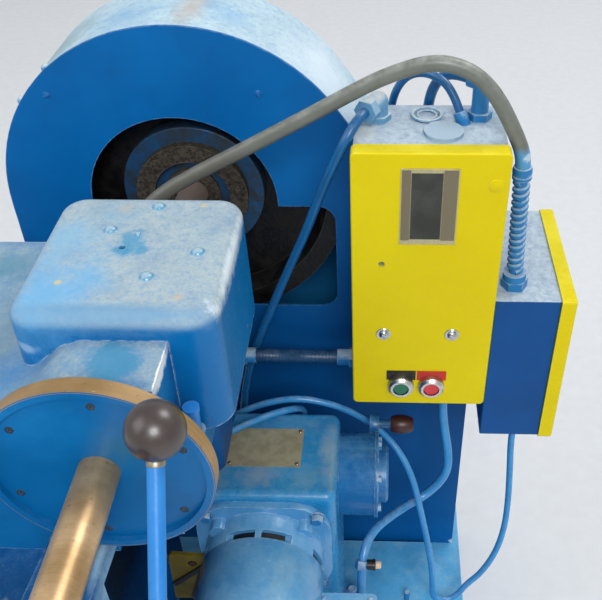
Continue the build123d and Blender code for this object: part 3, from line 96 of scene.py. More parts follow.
class Recipe:
    """A material in the making: its tree, and the object's own coordinates."""

    def __init__(self, name: str) -> None:
        """Make an empty material.

        Args:
            name: the material's name.
        """
        self.material = bpy.data.materials.new(name)
        self.material.use_nodes = True
        self.tree = self.material.node_tree
        self.tree.nodes.clear()
        self.place = self.put("ShaderNodeTexCoord").outputs["Object"]

    def put(self, kind: str, inputs: dict | None = None, **settings) -> bpy.types.Node:
        """Add a node.

        Args:
            kind: the node's type.
            inputs: for each input, by name or number, a value or another node's output.
            settings: the node's own properties.

        Returns:
            The new node.
        """
        node = self.tree.nodes.new(kind)
        for key, value in settings.items():
            setattr(node, key, value)
        for key, value in (inputs or {}).items():
            if isinstance(value, Socket):
                self.tree.links.new(value, node.inputs[key])
            else:
                node.inputs[key].default_value = value
        return node

    def times(self, *parts: Socket | float) -> Socket:
        """Multiply patterns and amounts, however many there are."""
        return reduce(lambda a, b: self.put("ShaderNodeMath", {0: a, 1: b},
                                            operation="MULTIPLY").outputs[0], parts)

    def plus(self, *parts: Socket | float) -> Socket:
        """Add up patterns and amounts, however many there are."""
        return reduce(lambda a, b: self.put("ShaderNodeMath", {0: a, 1: b},
                                            operation="ADD").outputs[0], parts)

    def coat(self, under: Socket | str, over: str, *amounts: Socket | float) -> Socket:
        """Lay a colour over another one.

        Args:
            under: the colour below, as hex or an output.
            over: the colour above, as hex.
            amounts: what the upper one's cover is the product of.

        Returns:
            The mixed colour's output.
        """
        below = linear(under) if isinstance(under, str) else under
        return self.put("ShaderNodeMix", {0: self.times(*amounts), 6: below, 7: linear(over)},
                        data_type="RGBA").outputs[2]

    def speckle(self, size: float, low: float, high: float, detail: float = 4,
                rough: float = 0.55) -> Socket:
        """Give a cloudy pattern from 0 to 1.

        Args:
            size: a feature's real width, from which the scale comes.
            low: the noise level that becomes 0.
            high: the noise level that becomes 1.
            detail: how many finer layers are added.
            rough: how strong the finer layers are.

        Returns:
            The pattern's output.
        """
        noise = self.put("ShaderNodeTexNoise", {
            "Vector": self.place, "Scale": 1 / (size * MM), "Detail": detail, "Roughness": rough})
        return self.put("ShaderNodeMapRange", {
            "Value": noise.outputs[0], "From Min": low, "From Max": high}).outputs[0]

    def upward(self, low: float, high: float) -> Socket:
        """Give 0 on walls and 1 on faces that look up.

        Args:
            low: the normal's height that becomes 0.
            high: the normal's height that becomes 1.

        Returns:
            The pattern's output.
        """
        normal = self.put("ShaderNodeTexCoord").outputs["Normal"]
        split = self.put("ShaderNodeSeparateXYZ", {0: normal})
        return self.put("ShaderNodeMapRange", {
            "Value": split.outputs["Z"], "From Min": low, "From Max": high}).outputs[0]

    def edges(self, radius: float) -> Socket:
        """Give 1 along edges and 0 elsewhere.

        Args:
            radius: how far from an edge it reaches.

        Returns:
            The pattern's output.
        """
        rounded = self.put("ShaderNodeBevel", {"Radius": radius * MM}, samples=4).outputs[0]
        plain = self.put("ShaderNodeNewGeometry").outputs["Normal"]
        cosine = self.put("ShaderNodeVectorMath", {0: rounded, 1: plain}, operation="DOT_PRODUCT")
        bend = self.put("ShaderNodeMath", {0: 1, 1: cosine.outputs["Value"]}, operation="SUBTRACT")
        # Flat faces stay under 0.02, and a right-angled edge reaches 0.25
        return self.put("ShaderNodeMapRange", {
            "Value": bend.outputs[0], "From Min": 0.02, "From Max": 0.25}).outputs[0]

    def near(self, mark: Mark) -> Socket:
        """Give a mark's strength within its ragged outline, and 0 outside it.

        Args:
            mark: the mark.

        Returns:
            The pattern's output.
        """
        gap = self.place
        for operation, step in (("SUBTRACT", tuple(c * MM for c in mark.place)),
                                ("MULTIPLY", mark.squash)):
            moved = self.put("ShaderNodeVectorMath", {0: gap, 1: step}, operation=operation)
            gap = moved.outputs[0]
        reach = self.put("ShaderNodeVectorMath", {0: gap}, operation="LENGTH").outputs["Value"]
        tear = self.times(self.speckle(mark.radius * 0.6, 0.25, 0.75, 8, 0.7),
                          mark.radius * mark.ragged * MM)
        outer, inner = (mark.radius * (1 + side * mark.soft) * MM for side in (1, -1))
        return self.put("ShaderNodeMapRange", {
            "Value": self.plus(reach, tear), "From Min": outer, "From Max": inner,
            "To Max": mark.strength}).outputs[0]

    def marked(self, colour: Socket, marks: Sequence[Mark]) -> Socket:
        """Lay marks over a colour, the lowest first."""
        return reduce(lambda under, mark: self.coat(under, mark.colour, self.near(mark)), marks,
                      colour)

    def surface(self, inputs: dict, *layers: tuple[Socket, float]) -> Material:
        """Add the shader, with height patterns stacked into its normal, and the output.

        Args:
            inputs: the shader's inputs by name.
            layers: pairs of a height pattern and its height.

        Returns:
            The finished material.
        """
        normal = {}
        for height, depth in layers:
            links = {"Height": height, "Distance": depth * MM, "Strength": 1, **normal}
            normal = {"Normal": self.put("ShaderNodeBump", links).outputs[0]}
        shader = self.put("ShaderNodeBsdfPrincipled", {**inputs, **normal})
        self.put("ShaderNodeOutputMaterial", {"Surface": shader.outputs[0]})
        return self.material


@dataclass(frozen=True)
class Enamel:
    """Alkyd machine enamel, brushed or sprayed over iron or sheet, and rubbed by years of hands.

    It shines softly, with a slight orange peel. Faces that look up are chalky, pale and smeared
    with dust, edges are rubbed, and here and there the primer or the iron shows.
    """

    name: str
    colour: str
    deep: str
    faded: str
    fading: float = 0.5
    fade_size: float = 70
    fade_level: float = 0.5
    fade_floor: float = 0
    fade_from: float = 0.35
    rubbed: str = "#C9D8DF"
    rub: float = 0.5
    edge: float = 2.2
    chip: str = "#C08A5A"
    chips: float = 0.5
    gloss: float = 0.3
    cast: float = 0.25
    grime: float = 0.25
    dirt: str = "#1B2226"
    sheen: float = 0.35
    marks: tuple[Mark, ...] = ()

    def make(self) -> Material:
        """Build the material.

        Returns:
            The material.
        """
        r = Recipe(self.name)
        colour = r.coat(self.deep, self.colour, r.speckle(160, 0.32, 0.68, 5))
        # Chalking: large patches and finer smears, on faces that look up
        patch = r.speckle(self.fade_size, self.fade_level - 0.06, self.fade_level + 0.07, 9, 0.66)
        smear = r.speckle(self.fade_size * 0.22, 0.36, 0.62, 7, 0.7)
        cover = r.put("ShaderNodeMapRange", {
            "Value": r.plus(r.times(patch, 0.62), r.times(smear, 0.38)),
            "To Min": self.fade_floor}).outputs[0]
        worn = r.times(r.upward(self.fade_from, self.fade_from + 0.5), self.fading, cover)
        colour = r.coat(colour, self.faded, worn)
        # Dust grains, and specks where the fresh enamel shows through the chalk
        colour = r.coat(colour, "#E6E2D4", r.speckle(3.4, 0.48, 0.75, 5, 0.7), worn, 0.3)
        colour = r.coat(colour, self.colour, r.speckle(8, 0.47, 0.72, 8, 0.75), worn, 0.55)
        colour = r.coat(colour, self.rubbed, r.edges(self.edge), r.speckle(9, 0.38, 0.6, 6),
                        self.rub)
        colour = r.coat(colour, self.dirt, r.speckle(45, 0.5, 0.8, 9, 0.7), self.grime)
        rarity = 0.03 * self.chips
        fleck = r.times(r.speckle(9, 0.745 - rarity, 0.76 - rarity, 3, 0.6), min(1, self.chips))
        colour = r.marked(r.coat(colour, self.chip, fleck), self.marks)
        haze = r.times(r.speckle(6, 0.3, 0.7, 6), 0.12)
        return r.surface(
            {"Base Color": colour, "Roughness": r.plus(r.times(worn, 0.28), haze, self.gloss),
             "IOR": 1.5, "Specular IOR Level": self.sheen},
            (r.speckle(14, 0, 1, 2), 0.9 * self.cast), (r.speckle(2.4, 0, 1, 2), 0.1),
            (fleck, -0.25))


@dataclass(frozen=True)
class TurnedSteel:
    """Turned shaft steel under an old brown oil film, which dulls it and scatters the light."""

    name: str
    colour: str
    film: str
    roughness: float
    metallic: float
    rings: float = 0.1
    marks: tuple[Mark, ...] = ()

    def make(self) -> Material:
        """Build the material.

        Returns:
            The material.
        """
        r = Recipe(self.name)
        # Tool marks along Y, 1.4 mm apart: real ones are finer, and would be too fine to show
        stretch = r.put("ShaderNodeMapping", {"Vector": r.place, "Scale": (6, 700, 6)}).outputs[0]
        rings = r.put("ShaderNodeTexNoise", {"Vector": stretch, "Scale": 1, "Detail": 3}).outputs[0]
        dark = r.put("ShaderNodeMapRange", {
            "Value": rings, "From Min": 0.45, "From Max": 0.7}).outputs[0]
        colour = r.coat(self.colour, self.film, r.speckle(60, 0.35, 0.7, 6))
        colour = r.coat(colour, "#5C4A33", dark, self.rings)
        colour = r.coat(colour, "#5A4630", r.speckle(7, 0.64, 0.72, 5), 0.45)
        colour = r.coat(colour, "#D8C8A8", r.speckle(2.6, 0.7, 0.74, 2), 0.5)
        return r.surface(
            {"Base Color": r.marked(colour, self.marks), "Metallic": self.metallic,
             "Roughness": r.plus(r.times(rings, 0.1), self.roughness - 0.05)},
            (rings, 0.012), (r.speckle(3, 0.2, 0.8, 5), 0.03))


@dataclass(frozen=True)
class OldIron:
    """Bare cast or turned iron or sheet, dark with grease or brown with age, dull and uneven."""

    name: str
    colour: str
    second: str
    patch_size: float
    roughness: float
    metallic: float
    relief: float

    def make(self) -> Material:
        """Build the material.

        Returns:
            The material.
        """
        r = Recipe(self.name)
        patch = r.speckle(self.patch_size, 0.42, 0.6, 8, 0.65)
        colour = r.coat(self.colour, self.second, patch)
        colour = r.coat(colour, "#8B8378", r.edges(1.6), 0.4)
        dull = r.put("ShaderNodeMapRange", {
            "Value": patch, "To Min": self.roughness - 0.12, "To Max": self.roughness + 0.15})
        return r.surface(
            {"Base Color": colour, "Metallic": self.metallic, "Roughness": dull.outputs[0]},
            (r.speckle(5, 0.2, 0.8, 6), self.relief), (patch, 0.2))


@dataclass(frozen=True)
class Plated:
    """Nickel, chrome or zinc plate on turned metal: bright, with faint wipe marks."""

    name: str
    colour: str = "#C9CCCF"
    roughness: float = 0.12

    def make(self) -> Material:
        """Build the material.

        Returns:
            The material.
        """
        r = Recipe(self.name)
        wipe = r.speckle(3, 0.3, 0.7, 5)
        return r.surface(
            {"Base Color": r.coat(self.colour, "#8E8A80", wipe, 0.35), "Metallic": 1,
             "Roughness": r.plus(r.times(wipe, 0.12), self.roughness)}, (wipe, 0.02))


@dataclass(frozen=True)
class Moulding:
    """A moulded plastic or phenolic piece, slightly scuffed, with dust in its low spots."""

    name: str
    colour: str
    scuff: str
    roughness: float
    scuffs: float
    grain: float
    sheen: float = 0.5

    def make(self) -> Material:
        """Build the material.

        Returns:
            The material.
        """
        r = Recipe(self.name)
        mark = r.times(r.speckle(8, 0.45, 0.7, 9, 0.7), self.scuffs)
        return r.surface(
            {"Base Color": r.coat(self.colour, self.scuff, mark), "IOR": 1.5,
             "Roughness": r.plus(r.times(mark, 0.3), self.roughness),
             "Specular IOR Level": self.sheen}, (r.speckle(1.5, 0.2, 0.8, 3), self.grain))


@dataclass(frozen=True)
class Jacket:
    """A cable's PVC jacket, or one painted over: soft sheen, smudged along its length."""

    name: str
    colour: str
    smudge: str
    roughness: float
    smudges: float
    dust: float
    marks: tuple[Mark, ...] = ()

    def make(self) -> Material:
        """Build the material.

        Returns:
            The material.
        """
        r = Recipe(self.name)
        cloud = r.times(r.speckle(28, 0.38, 0.7, 8, 0.66), self.smudges)
        colour = r.coat(r.coat(self.colour, self.smudge, cloud), "#C8CDC8",
                        r.upward(0.3, 1), self.dust, r.speckle(12, 0.35, 0.7))
        return r.surface(
            {"Base Color": r.marked(colour, self.marks), "IOR": 1.5,
             "Roughness": r.plus(r.times(cloud, 0.2), self.roughness)},
            (r.speckle(3, 0.2, 0.8, 4), 0.08))


@dataclass(frozen=True)
class TwoLegends:
    """Laminate legend plates: one black and one red, told apart by where they sit."""

    name: str
    left: str = "#15150F"
    right: str = "#C0261C"
    border: float = 300.8

    def make(self) -> Material:
        """Build the material.

        Returns:
            The material.
        """
        r = Recipe(self.name)
        x = r.put("ShaderNodeSeparateXYZ", {0: r.place}).outputs["X"]
        side = r.put("ShaderNodeMath", {0: x, 1: self.border * MM}, operation="GREATER_THAN")
        colour = r.coat(self.left, self.right, side.outputs[0])
        colour = r.coat(colour, "#8A7A60", r.speckle(4, 0.5, 0.7, 6), 0.3)
        return r.surface({"Base Color": colour, "Roughness": r.speckle(3, -1, 1.6, 4)})


FINISHES = {
    "sky": Enamel(
        "sky_machine_enamel", "#117CBC", "#0C66A2", "#93A9B2", fading=0.95, fade_size=80,
        fade_level=0.45, fade_floor=0.25, rubbed="#E4EDF0", rub=0.6, edge=3, chip="#B9B6A6",
        cast=0.45, sheen=0.25, marks=(
            Mark((13, -392, 975), 34, "#4089AE", 0.85, 0.7, (1, 0.7, 1)),
            Mark((58.5, -400, 972), 16, "#F4F6F4", 0.95, 0.5, (4, 0.33, 1)),
            Mark((-190, -330, 934), 60, "#5F8FA4", 0.6, 0.8, soft=0.4),
            Mark((-157, -195, 934), 42, "#5C8C9C", 0.6, 0.9, soft=0.35),
            Mark((-125, -300, 934), 60, "#7E96A0", 0.6, 0.9, (1.6, 0.7, 1), 0.4),
            Mark((-130, -410, 934), 26, "#C8BCA4", 0.6, 0.9, soft=0.3),
            Mark((-235, -290, 934), 120, "#5F93B8", 0.5, 0.9, soft=0.5),
            Mark((-95, -370, 934), 46, "#3E84BC", 0.7, 0.8, soft=0.4))),
    "cover": Enamel(
        "cover_casting_enamel", "#0A72B4", "#0664A2", "#A9B9BC", fading=0.97, fade_size=110,
        fade_level=0.42, fade_floor=0.6, fade_from=0.1, rubbed="#E8EEF2", rub=0.85, edge=3.5,
        chip="#C9BCA0", gloss=0.26, cast=0.3, grime=0.1, sheen=0.25, marks=(
            Mark((-62, -325, 1000), 70, "#62ACDC", 0.7, 0.9, (1, 0.8, 1), 0.4),
            Mark((-70, -235, 1000), 44, "#74B0D4", 0.6, 0.9, soft=0.4),
            Mark((-30, -190, 1000), 30, "#7FA9C0", 0.5, 0.9, soft=0.4),
            Mark((-1, -243, 1000), 24, "#4A92B6", 0.8, 1.1, (1, 0.72, 1), 0.2),
            Mark((-7, -256, 1000), 13, "#4290B6", 0.8, 0.5, (0.9, 1.1, 1), 0.25),
            Mark((12, -256, 1000), 9, "#4A92B6", 0.8, 0.5, soft=0.25),
            Mark((-56.3, -309.3, 1000), 4.5, "#C4BC94", 0.9, 0.4),
            Mark((61.5, -172, 1000), 6, "#C8B890", 0.6, 0.6),
            Mark((63, -330, 1000), 8, "#C9AC8C", 0.5, 0.8, soft=0.3),
            Mark((-22, -180, 1000), 12, "#C4AE8C", 0.4, 0.8, soft=0.4),
            # Painted highlight: a pale streak along the top right rounding
            Mark((103, -255, 994), 22, "#E2ECF2", 0.75, 0.7, (3.2, 0.18, 1), 0.3),
            # Painted shade: a darker band on the front top rounding
            Mark((4, -353, 997), 15, "#6C9ABC", 0.8, 0.35, (0.14, 1, 0.7), 0.35),
            # Painted highlights at the front right and front left corners of the top
            Mark((92, -338, 990), 13, "#EAF2F8", 0.85, 0.8, soft=0.3),
            Mark((-98, -326, 988), 11, "#E2ECF4", 0.8, 0.8, soft=0.3),
            # Painted highlight: a thin pale line at the front right corner
            Mark((97, -372, 946), 12, "#B8DCF4", 0.9, 0.3, (1, 1, 9)),
            # Painted highlight on the front's lower left, where the cover's flange bulge is not
            # shaped
            Mark((-80, -364, 962), 16, "#9DC0DC", 0.7, 0.6, (1, 1, 2.2), 0.3))),
    "dome": Enamel(
        "dome_enamel", "#5A9ABC", "#4A8CB0", "#B6C8CC", fading=1, fade_size=9, fade_floor=0.8,
        fade_from=0.62, rub=0, chips=0, gloss=0.1, cast=0.1, grime=0, sheen=0.8),
    "bed": Enamel(
        "bed_casting_enamel", "#0A5A9C", "#084780", "#3D88B8", fading=0.4, fade_size=60,
        rubbed="#D4E6F0", rub=0.6, edge=4, chips=0.8, chip="#7FA0B0", gloss=0.36, cast=0.5,
        grime=0.35, sheen=0.2, marks=(
            Mark((-20, -452, 740), 18, "#A4CCE4", 0.95, 0.25, (2.6, 0.3, 0.3), 0.25),
            # Painted shadow of the disc and shaft on the way, left of the shaft
            Mark((-130, -500, 740), 90, "#0A4478", 0.7, 0.6, soft=0.5),
            # Painted shade: near-black over the leg's side, in the dark gap under the bed
            Mark((-62, -285, 520), 185, "#0D1216", 0.9, 0.5, (1, 0.8, 1), 0.35),
            Mark((-200, -470, 740), 60, "#5E8EAC", 0.5, 0.9, (1, 0.6, 1), 0.4),
            Mark((-120, -520, 740), 30, "#C8D4D6", 0.6, 1, (1.6, 0.6, 1), 0.2))),
    "disc": Enamel(
        "disc_enamel", "#006EAE", "#00609C", "#2A7ABC", fading=0.3, rub=0, chips=0,
        cast=0.06, grime=0.3, dirt="#1C4654", sheen=0.3, marks=(
            Mark((30, -454, 925), 34, "#2B6478", 0.6, 0.8, soft=0.5),
            # Painted shade on the face's lower right, and painted light on its upper left
            Mark((48, -454, 872), 30, "#1C5A7C", 0.5, 0.8, soft=0.5),
            Mark((-60, -454, 960), 60, "#1C86C8", 0.5, 0.8, soft=0.5))),
    "unit": Enamel(
        "drive_unit_enamel", "#2A90C8", "#1D80B8", "#7FA6B6", fade_size=60, fade_level=0.55,
        rubbed="#A8D4EA", rub=0.8, chips=0.3, chip="#A89888", gloss=0.2, cast=0.2, grime=0.35,
        sheen=0.5, marks=(
            Mark((92, -216, 605), 30, "#93A0AC", 0.55, 0.9, (0.8, 1.3, 1), 0.4),
            Mark((186, -175, 605), 40, "#9AAEBC", 0.6, 0.9, (2.2, 0.6, 1), 0.4),
            Mark((30, -225, 605), 30, "#8FA2AE", 0.4, 0.9, soft=0.4))),
    "bell": Enamel(
        "end_bell_enamel", "#2273B0", "#195F98", "#5F9CC4", fading=0.4, fade_size=40,
        rubbed="#C4E0EE", rub=0.9, chips=0.2, chip="#A89888", gloss=0.18, cast=0.2, grime=0.3,
        sheen=0.5, marks=(Mark((254, -104, 588), 20, "#1A4A70", 0.85, 0.3, soft=0.2),)),
    "motor": Enamel(
        "motor_enamel", "#61A4D2", "#4A93C8", "#9CC8E0", fading=0.3, fade_size=50,
        rubbed="#D4E8F2", rub=0.7, chips=0.2, chip="#9AA6A8", gloss=0.1, cast=0.12, grime=0.22,
        sheen=0.8),
    "base": Enamel(
        "base_plate_enamel", "#50ACDE", "#3C98CA", "#8ABACE", fade_size=60, rub=0.8, chips=0.7,
        chip="#8A8468", gloss=0.38, cast=0.1, grime=0.3, sheen=0.3),
    "guard": Enamel(
        "guard_sheet_enamel", "#006AAF", "#005C9E", "#2F86C0", fading=0.35, rub=0.4, chips=0.12,
        chip="#8FA8B8", gloss=0.36, cast=0.05, grime=0.15, sheen=0.18, marks=(
            # Painted shade: a darker navy patch low on the right, where the starter box shades the
            # guard
            Mark((240, 0, 500), 350, "#05427A", 0.8, 0.3, soft=0.35),
            # Painted shade: a near-black patch low on the left, in the dark gap behind the bed leg
            Mark((-20, 0, 330), 170, "#0E1418", 0.92, 0.4, soft=0.3),
            Mark((390, 0, 163), 9, "#C4D4DA", 0.85, 0.5))),
    "hood": Enamel(
        "guard_hood_enamel", "#1F78B4", "#176AA4", "#BCD4DD", fading=1, fade_size=110,
        fade_level=0.36, fade_floor=0.55, fade_from=0, rub=0.6, chip="#B8A88E",
        cast=0.05, grime=0.08, marks=(
            Mark((20, 60, 1130), 40, "#B99F84", 0.55, 0.9, (1.6, 0.6, 1), 0.4),
            Mark((-50, 50, 1115), 60, "#5A9CCC", 0.5, 0.9, soft=0.5),
            Mark((-150, 60, 1075), 70, "#8AA4A8", 0.7, 0.7, soft=0.4),
            Mark((70, 60, 1125), 40, "#7FB4DC", 0.5, 0.9, soft=0.5),
            # Painted reflection: the right side is made pale where a bright window would reflect
            Mark((185, 50, 1050), 80, "#DCEAF4", 0.8, 0.6, (1, 0.8, 1), 0.4))),
    "box": Enamel(
        "box_enamel", "#004F92", "#00447F", "#BFCED6", fading=0.97, fade_size=45, fade_level=0.3,
        fade_floor=0.4, rub=0.4, chips=0.2, chip="#7F8C90", gloss=0.38, cast=0.03, grime=0.12,
        sheen=0.2, marks=(
            Mark((320.4, -76, 1042), 25, "#A4BAC8", 0.9, 0.2, soft=0.1),
            Mark((228, -70, 1037), 26, "#D8DCD6", 0.7, 1, soft=0.3),
            Mark((372, -30, 1037), 30, "#8FA6B4", 0.6, 0.9, soft=0.4))),
    "fitting": Enamel(
        "fitting_enamel", "#2E84C0", "#1E6EA8", "#B4C6CC", fading=0.9, fade_size=18,
        fade_level=0.42, rub=0.9, chips=0.6, chip="#C2C0B0", gloss=0.26, cast=0.1),
    "chalky": Enamel(
        "chalky_fitting_enamel", "#6FA3C4", "#3F84B4", "#D2D8D6", fading=0.95, fade_size=16,
        fade_level=0.34, fade_floor=0.4, rub=0.9, chips=0.8, chip="#D8D6C8", gloss=0.34,
        cast=0.12),
    "yellow": Enamel(
        "yellow_sheet_enamel", "#E0CC00", "#D8C200", "#F2E430", fading=0.6, rubbed="#F6F0A0",
        rub=0.45, chip="#B09A20", chips=0, gloss=0.22, cast=0.03, grime=0, sheen=0.15),
    # A darker copy of the yellow paint: painted shade for the bracket low in the dark gap, with
    # heavy grime over it
    "bracket_yellow": Enamel(
        "shaded_yellow_enamel", "#8F7F10", "#4E420C", "#8F8230", fading=0.3, rubbed="#B8AC50",
        chips=0.6, chip="#4A3C1C", grime=0.8, gloss=0.5),
    "rod": Enamel(
        "lever_enamel", "#2888D4", "#2078C4", "#5AA4E4", fading=0.2, rub=0.3, chips=0.1,
        chip="#A8C4D4", cast=0.05, grime=0.08, sheen=0.3,
        # Painted shade: the rod darkens toward its pivot
        marks=(Mark((95, -706, 800), 120, "#1F5C9C", 0.7, 0.3, soft=0.5),)),
    "shaft": TurnedSteel(
        "turned_shaft_steel", "#F0CA9A", "#B08C5E", 0.36, 0.66, marks=(
            # Painted shade where the shaft meets the disc
            Mark((0, -462, 893), 34, "#6A5C40", 0.5, 0.6, soft=0.5),
            # Painted highlight: a pinkish light patch on the shaft inside the hub
            Mark((0, -20, 893), 90, "#BCAAA6", 0.8, 0.4, soft=0.2))),
    "rim": TurnedSteel("rubbed_rim_steel", "#B89668", "#96784C", 0.5, 0.4, 0.2),
    "greasy": OldIron("greasy_cast_iron", "#141314", "#231F1C", 40, 0.45, 0.3, 0.25),
    "rusty": OldIron("rusty_cast_iron", "#4C4436", "#2A2520", 5, 0.75, 0.2, 1.2),
    "hub": OldIron("dirty_hub_iron", "#244E74", "#2A3640", 30, 0.4, 0.1, 0.2),
    "disc_screw": OldIron("oiled_screw_iron", "#123C58", "#0E2C40", 6, 0.5, 0.2, 0.05),
    "nickel": Plated("nickel_plate"),
    "bezel": Plated("bezel_chrome", "#DCD8D4", 0.24),
    "zinc": Plated("dull_zinc_plate", "#A9A79C", 0.3),
    "collar": Plated("worn_collar_steel", "#A8A08E", 0.4),
    "brass": OldIron("tarnished_brass_sheet", "#B0A88A", "#9A9274", 16, 0.4, 0.2, 0.06),
    "panel": OldIron("dark_window_panel", "#3E3F39", "#34352F", 30, 0.35, 0.3, 0.02),
    "frame_metal": Plated("window_frame_metal", "#C9BE92", 0.3),
    "bar_metal": Plated("window_bar_metal", "#8A7F64", 0.42),
    "ball": Moulding("phenolic_ball", "#3A2E29", "#4C3F38", 0.31, 0.2, 0.008, 0.9),
    "oxide": OldIron("red_oxide_iron", "#4A1A14", "#2E1410", 8, 0.7, 0.1, 0.3),
    "knob": Moulding("phenolic_knob", "#3A1A12", "#50301F", 0.36, 0.3, 0.05),
    "green": Moulding("green_button_plastic", "#12684A", "#2E7F62", 0.28, 0.3, 0.02),
    "red": Moulding("red_button_plastic", "#D02A34", "#E06060", 0.28, 0.3, 0.02),
    "black": Moulding("black_plastic", "#141414", "#3A3632", 0.35, 0.4, 0.04),
    "tan": Moulding("tan_plastic", "#DCBEA4", "#B89A80", 0.45, 0.4, 0.04),
    "rubber": Moulding("belt_rubber", "#101010", "#2A2622", 0.7, 0.5, 0.1),
    "grey": Jacket("grey_cable_jacket", "#70746C", "#58584E", 0.34, 0.6, 0.45, (
        Mark((411, -87, 1004), 30, "#4C94C4", 0.95, 0.5),
        Mark((414, -92, 1016), 9, "#C8D6DA", 0.7, 0.9),
        # Painted shade: the stretch beside the gear cover is darker
        Mark((10, -100, 975), 170, "#5F5C52", 0.7, 0.5, soft=0.5))),
    "blue": Jacket("blue_cable_jacket", "#14619A", "#0D4A78", 0.24, 0.5, 0.25),
    "navy": Jacket("navy_conduit_jacket", "#0F426C", "#0A3252", 0.34, 0.5, 0.12),
    "pale": Jacket("pale_blue_cable_jacket", "#3890CC", "#2272AA", 0.2, 0.5, 0.3),
    "legends": TwoLegends("legend_laminate"),
}


@cache
def material(finish: str) -> Material:
    """Give a finish's material, which is built when it is first asked for."""
    return FINISHES[finish].make()


def show(name: str, data: bpy.types.ID, place: Matrix = Matrix.Identity(4)) -> Object:
    """Put a new object in the scene.

    Args:
        name: its name.
        data: its mesh, curve, lamp or camera.
        place: where it goes.

    Returns:
        The object.
    """
    made = bpy.data.objects.new(name, data)
    bpy.context.scene.collection.objects.link(made)
    made.matrix_world = place
    return made


def polar(radius: float, degrees: float) -> Pair:
    """Give the point at an angle on a circle round the origin."""
    return radius * math.cos(math.radians(degrees)), radius * math.sin(math.radians(degrees))


def stand(direction: Point, *places: tuple) -> list[Matrix]:
    """Give the places of pieces that stand on points and look along one direction.

    Args:
        direction: their local Z axis.
        places: each one's foot, and behind it the degrees that it is turned by, if any.

    Returns:
        The places as matrices.
    """
    look = Vector(direction).to_track_quat("Z", "Y").to_matrix().to_4x4()
    return [Matrix.Translation(place[:3]) @ look
            @ Matrix.Rotation(math.radians(sum(place[3:])), 4, "Z") for place in places]


